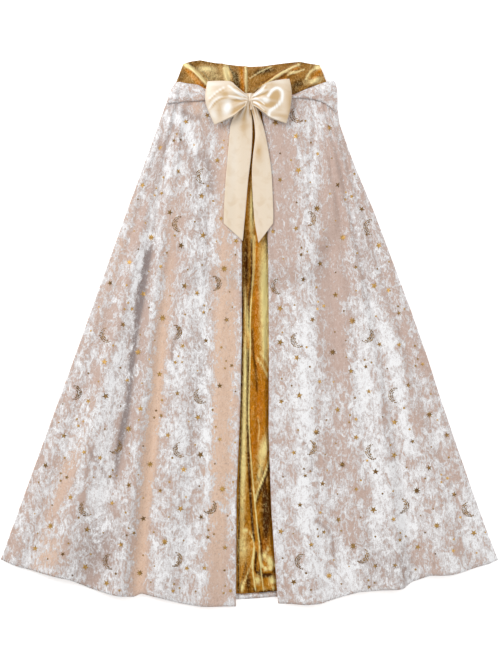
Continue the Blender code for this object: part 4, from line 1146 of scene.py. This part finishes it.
@dataclass
class FrontPanel:
    """One velvet front, with its side edge turned round to the back.

    Each roll is a depth and a width in millimetres, and the turns are degrees round the side edge.
    """

    name: str
    slot: str
    side: Sequence[Place]
    opening: Sequence[Place]
    columns: int = 150
    rows: int = 250
    wrap_mm: float = 2.0
    hem_roll: tuple = (1.1, 2.6)
    edge_roll: tuple = (1.0, 2.4)
    wrap_turns: tuple = (0.0, 0.0, 22.0, 45.0, 68.0)

    def surface(self) -> tuple[Array, Array, Array]:
        """The panel's top. Returns: u, v and heights."""
        q = np.linspace(0, 1, self.rows)[:, None]
        r0 = FORM.r_neck + q * (FORM.r_hem - FORM.r_neck)
        side, edge = FORM.edge(self.side, r0), FORM.edge(self.opening, r0)
        inward = np.sign(edge - side) * np.degrees(self.wrap_mm * MM / PX / r0)
        share = np.linspace(0, 1, self.columns)[None, :]
        angle = side + inward + (edge - side - inward) * share
        # The first columns bend round the side edge
        turn = np.radians(np.array(self.wrap_turns))[None, :]
        bent = len(self.wrap_turns)
        around = side + inward * (1 - np.cos(turn))
        angle = np.concatenate([around + 0 * q, angle], axis=1)
        r = FORM.neck_radius(angle) * (1 - q) + FORM.hem_radius(angle) * q
        u, v = FORM.place(r, angle)
        z = FORM.front_top(u, v)
        top = z[:, bent:bent + 1]
        z[:, 0:1] = FORM.ground(u[:, 0:1], v[:, 0:1]) + 0.1
        z[:, 1:bent] = top - self.wrap_mm * (1 - np.sin(turn[:, 1:]))
        hem_mm = (FORM.hem_radius(angle) - r) * PX / MM
        edge_mm = np.abs(np.radians(angle - edge)) * r * PX / MM
        rolls = ((self.hem_roll, hem_mm), (self.edge_roll, edge_mm))
        z[:, bent:] -= sum(deep * (1 - soft(far / wide)) for (deep, wide), far in rolls)[:, bent:]
        return u, v, z

    def build(self, finishes: Finishes) -> bpy.types.Object:
        """Makes the panel and its print. Args: finishes. Returns: the panel."""
        u, v, z = self.surface()
        shell = Shell(f"{self.name}_cloth", self.name, self.slot, FORM.front_thick, metres(u, v, z), cloth_uv(u, v),
                      velvet_tones(u, v))
        made = shell.build(finishes.velvet, finishes.gold)
        printed = FoilPrint(self.name + "_foil", self.side, self.opening).build(finishes, self.name, self.slot)
        return made


@dataclass
class FoilPrint:
    """The gold foil stars, dots and moons of one front, as thin motifs that lie on the velvet."""

    name: str
    side: Sequence[Place]
    opening: Sequence[Place]
    above_mm: float = 0.22
    margin_px: float = 1.2
    band_v: float = 106.0
    moon_shade: float = 0.8
    seed: int = 21
    tiles: range = range(-1, 7)

    def _inside(self, u: float, v: float, reach: float) -> bool:
        """Whether a motif lies on the panel. Args: u, v: its middle; reach: its size. Returns: the answer."""
        r, a = FORM.polar(u, v)
        side, edge = float(FORM.edge(self.side, r)), float(FORM.edge(self.opening, r))
        gap = math.degrees((reach + self.margin_px) / float(r))
        low, high = sorted((side, edge))
        if not low + gap < float(a) < high - gap:
            return False
        return float(r) + reach + 2 < float(FORM.hem_radius(a)) and v > self.band_v + reach

    def _ring(self, points: int, size: float, pinch: float, turn: float) -> Array:
        """A star's or dot's outline. Args: points; size; pinch: inner share; turn. Returns: offsets."""
        k = np.arange(points * 2 if pinch < 1 else points)
        step = 2 * math.pi / len(k)
        radius = np.where(k % 2 == 0, size, size * pinch)
        return np.stack([np.cos(k * step + turn), np.sin(k * step + turn)], axis=-1) * radius[:, None]

    def _shapes(self, motif: Motif, rng: np.random.Generator) -> list[Array]:
        """A motif's outlines. Args: motif; rng: seeded. Returns: rings of offsets from its middle."""
        turn = math.radians(motif.turn) + rng.uniform(-0.4, 0.4)
        if motif.kind in ONE_RING:
            points, pinch = ONE_RING[motif.kind]
            return [self._ring(points, motif.size, pinch, turn)]
        if motif.kind is Kind.TRIO:
            return [
                self._ring(5, size, 0.45, turn + k)
                + motif.size * np.array([math.cos(turn + k * 2.1), math.sin(turn + k * 2.1)]) * 0.8
                for k, size in enumerate((2.3, 1.7, 1.5))
            ]
        # A moon is three arcs of dots, each with its radius, count and reach
        rings = []
        for radius, count, reach in ((1.0, 15, 1.65), (0.76, 10, 1.25), (0.52, 5, 0.75)):
            for k in range(count):
                t = -reach + 2 * reach * k / (count - 1)
                middle = motif.size * radius * np.array([math.cos(turn + t), math.sin(turn + t)])
                middle = middle + rng.uniform(-0.2, 0.2, 2)
                rings.append(self._ring(6, rng.uniform(0.52, 0.88), 1.0, turn) + middle)
        return rings

    def build(self, finishes: Finishes, node: str, slot: str) -> bpy.types.Object:
        """Makes the print as one mesh. Args: finishes; node, slot: of the panel, not used. Returns: it."""
        rng = np.random.default_rng(self.seed)
        points, faces, shades = [], [], []
        for i, j, motif in product(self.tiles, self.tiles, REPEAT):
            across = TILE_U - motif.u if (i + j) % 2 else motif.u
            u = i * TILE_U + across + rng.uniform(-3, 3)
            v = j * TILE_V + motif.v + (i % 2) * TILE_V * 0.46 + rng.uniform(-3, 3)
            rings = self._shapes(motif, rng)
            shade = float(rng.uniform(0, 1)) ** 1.5
            if motif.kind is Kind.MOON:
                shade = max(shade, self.moon_shade)
            if not self._inside(u, v, motif.size):
                continue
            for ring in rings:
                fan = np.concatenate([ring, [ring.mean(axis=0)]])
                ru, rv = u + fan[:, 0], v + fan[:, 1]
                start, n = len(points), len(ring)
                points.extend(metres(ru, rv, FORM.front_top(ru, rv) + self.above_mm).tolist())
                shades.extend([shade] * (n + 1))
                faces.extend((start + n, start + (k + 1) % n, start + k) for k in range(n))
        made = add_mesh(self.name, points, faces, finishes.foil)
        add_tone(made.data, "shade", np.array(shades))
        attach(made, "root")
        return made


@dataclass
class Hood:
    """The hood: its gold inside, the velvet band at the neck, and the folded velvet behind the back."""

    columns: int = 200
    rows: int = 70
    low_v: float = 96.7
    pouch_middle_v: float = 168.0

    def build_lining(self, finishes: Finishes) -> bpy.types.Object:
        """The gold inside. Args: finishes. Returns: it."""
        a = np.linspace(0, 1, self.columns)[None, :]
        b = np.linspace(0, 1, self.rows)[:, None]
        top_u = 183.0 + 137.0 * a
        top_v = np.interp(top_u, *np.array(HOOD_TOP, float).T)
        low_u = 170.5 + 162.0 * a
        u, v = low_u + (top_u - low_u) * b, self.low_v + (top_v - self.low_v) * b
        crinkle = 0.22 * np.sin(u * 0.8 + v * 0.5) * np.sin(v * 0.9 - u * 0.23) + 0.15 * np.sin(u * 1.7 - v * 1.1)
        z = FORM.hood_under(u, v) + FORM.hood_thick + crinkle * soft((94 - v) / 6) * soft((v - 64) / 4)
        shell = Shell("hood_gold_cloth", "hood_lining", "hood_gold", 1.3, metres(u, v, z),
                      photo_uv(u, v), gold_tones(u, v))
        made = shell.build(finishes.hood_gold)
        return made

    def build_band(self, finishes: Finishes) -> bpy.types.Object:
        """The velvet band. Args: finishes. Returns: it."""
        strips = smooth_rows(np.array(BAND), 170)
        t = np.linspace(0, 1, 26)[:, None]
        u = strips[None, :, 0] + (strips[None, :, 2] - strips[None, :, 0]) * t
        v = strips[None, :, 1] + (strips[None, :, 3] - strips[None, :, 1]) * t
        lift = strips[None, :, 4] * (0.3 + 0.7 * np.sin(math.pi * t))
        roll = 0.9 * (1 - soft(t / 0.1)) + 0.9 * (1 - soft((1 - t) / 0.08))
        wrinkle = 0.25 * np.sin(u * 0.5 + 3 * t) + 0.2 * np.sin(u * 0.9 - 5 * t)
        z = FORM.band_under(u, v, t) + lift + 1.8 - roll + wrinkle * np.sin(math.pi * t)
        shell = Shell("hood_band_cloth", "hood_band", "band_velvet", 1.6, metres(u, v, z),
                      photo_uv(u, v, 1.6), velvet_tones(u, v))
        made = shell.build(finishes.velvet)
        return made

    def build_pouch(self, finishes: Finishes) -> bpy.types.Object:
        """The folded hood under the back. Args: finishes. Returns: it."""
        half = smooth_rows(np.array(POUCH_HALF), 60)
        right = np.stack([FORM.apex_u + half[:, 0], half[:, 1]], axis=-1)
        left = np.stack([FORM.apex_u - half[::-1, 0], half[::-1, 1]], axis=-1)
        ring = np.concatenate([right, left])
        ring = np.concatenate([ring, ring[:1]])
        middle = np.array([FORM.apex_u, self.pouch_middle_v])
        # Each layer's inset and height: two folded edges, one over the other
        layers = ((60, 0.05), (0.8, 0.05), (0.1, 0.5), (0.0, 1.6), (1.2, 2.0), (1.2, 2.3), (0.2, 2.6), (0.2, 3.8),
                  (1.3, 4.2), (1.3, 4.5), (0.4, 4.8), (0.6, 5.8), (2.4, 6.4), (60, 6.4))
        rows = []
        for inset, high in layers:
            away = ring - middle
            near = middle + away * (1 - inset / np.maximum(np.linalg.norm(away, axis=1), 70.0))[:, None]
            rows.append(metres(near[:, 0], near[:, 1], np.full(len(ring), high)))
        points = np.array(rows)
        u, v = points[..., 0] / PX + MIDDLE.u, MIDDLE.v - points[..., 1] / PX
        shell = Shell("hood_velvet_cloth", "hood_pouch", "hood_velvet", 0.8, points[::-1],
                      np.stack([u[::-1] * PX, (v[::-1] + points[::-1, :, 2] / PX) * PX], axis=-1),
                      velvet_tones(u[::-1], v[::-1]), True)
        made = shell.build(finishes.velvet)
        return made


@dataclass
class Bow:
    """The satin bow: two loops, a gathered knot and two free ends."""

    floor: float = 16.7
    knot_floor: float = 16.4
    knot_rise: float = 6.0
    pleats: int = 4
    reach_mm: float = 43.0
    knot_middle: Place = Place(249.5, 102.6)
    knot_half: Place = Place(8.6, 8.0)
    ribbon: float = 0.025
    clear_mm: float = 0.4

    def _loop_rows(self, loop: Loop, steps: Array, across: Array) -> tuple[Array, Array]:
        """Places in a loop's outline. Args: loop; steps: shares outwards; across: shares down. Returns: u and v."""
        t = steps[:, None, None]
        c = across[None, :, None]
        grid = np.linspace(0, 1, 80)

        def read(places: Sequence[Place], at: Array) -> Array:
            """Places on a smooth curve. Args: places; at: shares along it. Returns: pairs."""
            curve = smooth_rows(np.array(places), len(grid))
            return np.stack([np.interp(at, grid, curve[:, k]) for k in (0, 1)], axis=-1)

        top, bottom = read(loop.top, steps)[:, None, :], read(loop.bottom, steps)[:, None, :]
        outer = read(loop.outer, across)[None, :, :]
        p00, p01 = np.array(loop.top[0]), np.array(loop.bottom[0])
        p10, p11 = np.array(loop.top[-1]), np.array(loop.bottom[-1])
        inner = p00 + (p01 - p00) * c
        mixed = inner * (1 - t) + outer * t
        mixed = mixed + (1 - c) * (top - (p00 * (1 - t) + p10 * t)) + c * (bottom - (p01 * (1 - t) + p11 * t))
        return mixed[..., 0], mixed[..., 1]

    def build_loop(self, name: str, loop: Loop, finishes: Finishes, tones: dict[str, tuple],
                   shines: dict[str, tuple]) -> bpy.types.Object:
        """One loop. Args: name; loop; finishes; tones: patches of painted shade and highlight; shines: lines of
        painted gloss and shade, both by name. Returns: it.
        """
        path = smooth_rows(np.array(LOOP_PATH), 72)
        across = np.linspace(0, 1, 44)
        u, v = self._loop_rows(loop, np.clip(path[:, 0], 0, 1), across)
        out, high = path[:, 0][:, None], path[:, 1][:, None]
        above = soft((high - 3.0) / 4.0)
        c = across[None, :]
        bow = 2.2 * above * (2 * c - 1) ** 2 * out
        near = (1 - np.clip(out, 0, 1)) ** 1.1
        fan = np.cos(2 * math.pi * self.pleats * c + 1.1 * np.sin(4 * out + 3 * c))
        broad = np.sin(7.5 * c - 2.2 * out + 0.7) * np.sin(math.pi * np.clip(out, 0, 1))
        z = self.floor + high - bow + (0.95 * fan * near + 0.9 * broad) * above
        arc = np.concatenate([[0], np.cumsum(np.hypot(np.diff(path[:, 0]) * self.reach_mm, np.diff(path[:, 1])))])
        cloth = np.stack([(v - 80) * PX, (arc[:, None] * MM) + 0 * v], axis=-1)
        on_top = above * (out < 1.01)
        painted = {k: (patches(p, u, v) + trails(shines[k], u, v)) * on_top for k, p in tones.items()}
        # Painted shade in the pleats' troughs near the knot, and painted highlights on their crests
        painted["painted_shade"] += 0.95 * np.clip(-fan, 0, 1) ** 1.5 * near * on_top
        painted["bright"] += 0.7 * np.clip(fan, 0, 1) ** 3 * near * on_top
        made = Shell(name + "_cloth", name, "satin", 0.9, metres(u, v, z), cloth, painted).build(finishes.satin)
        return made

    def build_tail(self, name: str, strips: Sequence[Strip], finishes: Finishes,
                   tones: dict[str, tuple]) -> bpy.types.Object:
        """One free end. Args: name; strips; finishes; tones: patches of painted shade and highlight, by name.
        Returns: it.
        """
        rows = smooth_rows(np.array(strips), 110)
        t = np.linspace(0, 1, 26)[None, :]
        u = rows[:, 0:1] + (rows[:, 2:3] - rows[:, 0:1]) * t
        v = rows[:, 1:2] + (rows[:, 3:4] - rows[:, 1:2]) * t
        rest = FORM.ground(u, v) + FORM.front_floor + FORM.front_thick + FORM.folds(u, v) + self.clear_mm
        top = soft((125 - v) / 14.0)
        fan = np.cos(2 * math.pi * 2.5 * t + 0.4)
        pleat = 0.45 * fan * top
        painted = {k: patches(p, u, v) for k, p in tones.items()}
        # Painted shade in the pleats' troughs at the top, and painted highlights on their crests
        painted["painted_shade"] += 0.8 * np.clip(-fan, 0, 1) ** 1.5 * top
        painted["bright"] += 0.5 * np.clip(fan, 0, 1) ** 3 * top
        z = rest + rows[:, 4:5] * (0.4 + 0.6 * np.sin(math.pi * t)) + 1.0 + pleat
        cloth = np.stack([t * self.ribbon + 0 * v, (v - 100) * PX], axis=-1)
        made = Shell(name + "_cloth", name, "satin", 0.9, metres(u, v, z), cloth, painted).build(finishes.satin)
        return made

    def build_knot(self, finishes: Finishes) -> bpy.types.Object:
        """The gathered knot. Args: finishes. Returns: it."""
        levels = smooth_rows(np.array(KNOT_LEVELS), 40)
        levels = np.concatenate([levels, [[0.02, levels[-1, 1]]]])
        turn = np.linspace(0, 2 * math.pi, 145)[None, :]
        boxy = (np.abs(np.cos(turn)) ** 3 + np.abs(np.sin(turn)) ** 3) ** (-1 / 3)
        wide, high = levels[:, 0:1], levels[:, 1:2]
        fan = np.cos(13 * turn + 1.4 * np.sin(2 * turn) + 0.5)
        u = self.knot_middle.u + self.knot_half.u * wide * boxy * np.cos(turn)
        v = self.knot_middle.v + self.knot_half.v * wide * boxy * np.sin(turn)
        # The dimple below the knot's middle
        pinch = 1.5 * np.exp(-(((v - 107.5) / 3.4) ** 2) - ((u - 249.3) / (0.5 + 0.16 * (v - 103).clip(0, 9))) ** 2)
        z = self.knot_floor + self.knot_rise * high + 0.55 * fan * wide * soft(high / 0.5) - pinch
        cloth = np.stack([turn * 0.004 + 0 * z, high * 0.012 + 0 * z], axis=-1)
        points = metres(u, v, z)
        # Painted shade in the pleats' troughs and in the dimple, and painted highlights on the crests
        painted_shade = 0.5 * np.clip(-fan, 0, 1) * wide + patches((Patch(249.3, 108.5, 1.6, 2.6, 0, 1.2),), u, v)
        bright = 0.45 * np.clip(fan, 0, 1) ** 2 * wide
        made = Shell("ribbon_knot_cloth", "ribbon_knot", "satin", 0.8, points, cloth,
                     {"painted_shade": painted_shade, "bright": bright}, True).build(finishes.satin)
        return made


@dataclass
class Stitches:
    """Rows of small stitches along the seams that show."""

    long_mm: float = 2.2
    gap_mm: float = 1.4
    wide_mm: float = 0.34
    rise_mm: float = 0.192

    def _row(self, u: Array, v: Array, z: Array) -> tuple[list, list]:
        """Flat little bars along a line. Args: u, v, z: the line. Returns: points and faces."""
        line = metres(u, v, z)
        far = np.concatenate([[0], np.cumsum(np.linalg.norm(np.diff(line, axis=0), axis=1))])
        starts = np.arange(0, far[-1] - self.long_mm * MM, (self.long_mm + self.gap_mm) * MM)
        points, faces = [], []
        for s in starts:
            a, b = (np.array([np.interp(x, far, line[:, k]) for k in range(3)]) for x in (s, s + self.long_mm * MM))
            side = np.cross(b - a, (0, 0, 1.0))
            side *= self.wide_mm * MM / 2 / np.linalg.norm(side)
            up = np.array([0, 0, self.rise_mm * MM])
            n = len(points)
            points += [tuple(p) for p in (a - side, a + side, b + side, b - side, (a + b) / 2 + up)]
            faces += [(n, n + 1, n + 4), (n + 1, n + 2, n + 4), (n + 2, n + 3, n + 4), (n + 3, n, n + 4)]
        return points, faces

    def build(self, name: str, lines: Sequence[tuple[Array, Array, Array]], slot: str,
              finishes: Finishes) -> bpy.types.Object:
        """All rows as one mesh. Args: name; lines; slot: not used; finishes. Returns: it."""
        points: list = []
        faces: list = []
        for u, v, z in lines:
            more, rims = self._row(u, v, z)
            faces += [tuple(len(points) + k for k in rim) for rim in rims]
            points += more
        made = add_mesh(name, points, faces, finishes.thread)
        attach(made, "root")
        return made


@dataclass
class Studio:
    """A white floor, soft light and the camera straight above."""

    lens: float = 85.0
    distance: float = 1.985
    middle_y: float = -0.0016
    floor_half: float = 4.0
    floor_z: float = -0.0004

    def _light(self, name: str, place: tuple, size: float, power: float) -> None:
        """An area light aimed at the garment. Args: name; place; size; power."""
        data = bpy.data.lights.new(name, "AREA")
        data.shape = "SQUARE"
        data.size = size
        data.energy = power
        made = bpy.data.objects.new(name, data)
        made.location = place
        made.rotation_euler = (-Vector(place)).to_track_quat("-Z", "Y").to_euler()
        bpy.context.scene.collection.objects.link(made)

    def build(self) -> None:
        """Makes the floor, lights, world and camera."""
        scene = bpy.context.scene
        white, g, shader = start_material("floor_white")
        g.put(shader, {"Base Color": linear((253, 253, 253)), "Roughness": 0.9,
                       "Emission Color": (1.0, 1.0, 1.0, 1.0), "Emission Strength": 0.45})
        corners = [(x * self.floor_half, y * self.floor_half, self.floor_z)
                   for x, y in ((-1, -1), (1, -1), (1, 1), (-1, 1))]
        floor = add_mesh("floor", corners, [(0, 1, 2, 3)], white)
        self._light("key", (-1.5, 1.25, 1.6), 1.2, 36.0)
        self._light("fill", (1.4, 0.2, 1.9), 1.4, 14.0)
        world = bpy.data.worlds.new("soft")
        world.use_nodes = True
        world.node_tree.nodes["Background"].inputs[0].default_value = (1.0, 1.0, 1.0, 1.0)
        world.node_tree.nodes["Background"].inputs[1].default_value = 0.48
        scene.world = world
        data = bpy.data.cameras.new("camera")
        data.lens = self.lens
        data.sensor_fit = "AUTO"
        camera = bpy.data.objects.new("camera", data)
        camera.location = (0.0, self.middle_y, self.distance)
        scene.collection.objects.link(camera)
        scene.camera = camera
        scene.view_settings.view_transform = "Standard"


def seam_lines(back: BackPanel) -> list[tuple[Array, Array, Array]]:
    """The seams that show: the back's turned hem and the hood's centre seam. Args: back. Returns: lines."""
    angle = np.linspace(-1.4, 2.2, 60)
    u, v = FORM.place(FORM.back_hem_radius(angle) - back.hem_stitch, angle)
    hem = (u, v, np.full(60, FORM.back_thick + back.hem_turn_mm + 0.12))
    down = np.linspace(67, 92, 40)
    centre = np.full(40, 247.6)
    return [hem, (centre, down, FORM.hood_under(centre, down) + FORM.hood_thick + 0.35)]


def main() -> None:
    """Builds every piece in order and reports it."""
    # The hood's gold is duller than the lining's
    hood_lame = LameFinish(painted_shade=(74, 46, 10), middle=(164, 116, 50), orange=(200, 124, 16), bright=(255, 236, 176))
    finishes = Finishes(
        VelvetFinish().material("crushed_velvet"),
        LameFinish().material("gold_lame"),
        hood_lame.material("gold_lame_hood"),
        SatinFinish().material("cream_satin"),
        FoilFinish().material("gold_foil"),
        ThreadFinish().material("gold_thread"),
    )
    hood, back, bow = Hood(), BackPanel(), Bow()
    made = [
        hood.build_pouch(finishes),
        back.build_back(finishes),
        back.build_lining(finishes),
        FrontPanel("front_left", "front_left_velvet", SIDE_LEFT, EDGE_LEFT).build(finishes),
        FrontPanel("front_right", "front_right_velvet", SIDE_RIGHT, EDGE_RIGHT).build(finishes),
        hood.build_lining(finishes),
        hood.build_band(finishes),
        bow.build_loop("ribbon_loop_left", LOOP_LEFT, finishes, LOOP_LEFT_TONES, LOOP_LEFT_SHINES),
        bow.build_loop("ribbon_loop_right", LOOP_RIGHT, finishes, LOOP_RIGHT_TONES, LOOP_RIGHT_SHINES),
        bow.build_tail("ribbon_tail_left", TAIL_LEFT, finishes, TAIL_TONES),
        bow.build_tail("ribbon_tail_right", TAIL_RIGHT, finishes, TAIL_TONES),
        bow.build_knot(finishes),
        Stitches().build("seam_stitches", seam_lines(back), "back_gold", finishes),
    ]
    for piece in made:
        log.info("%s: %d vertices", piece.name, len(piece.data.vertices))
    Studio().build()
    bpy.context.view_layer.update()


if __name__ == "__main__":
    main()
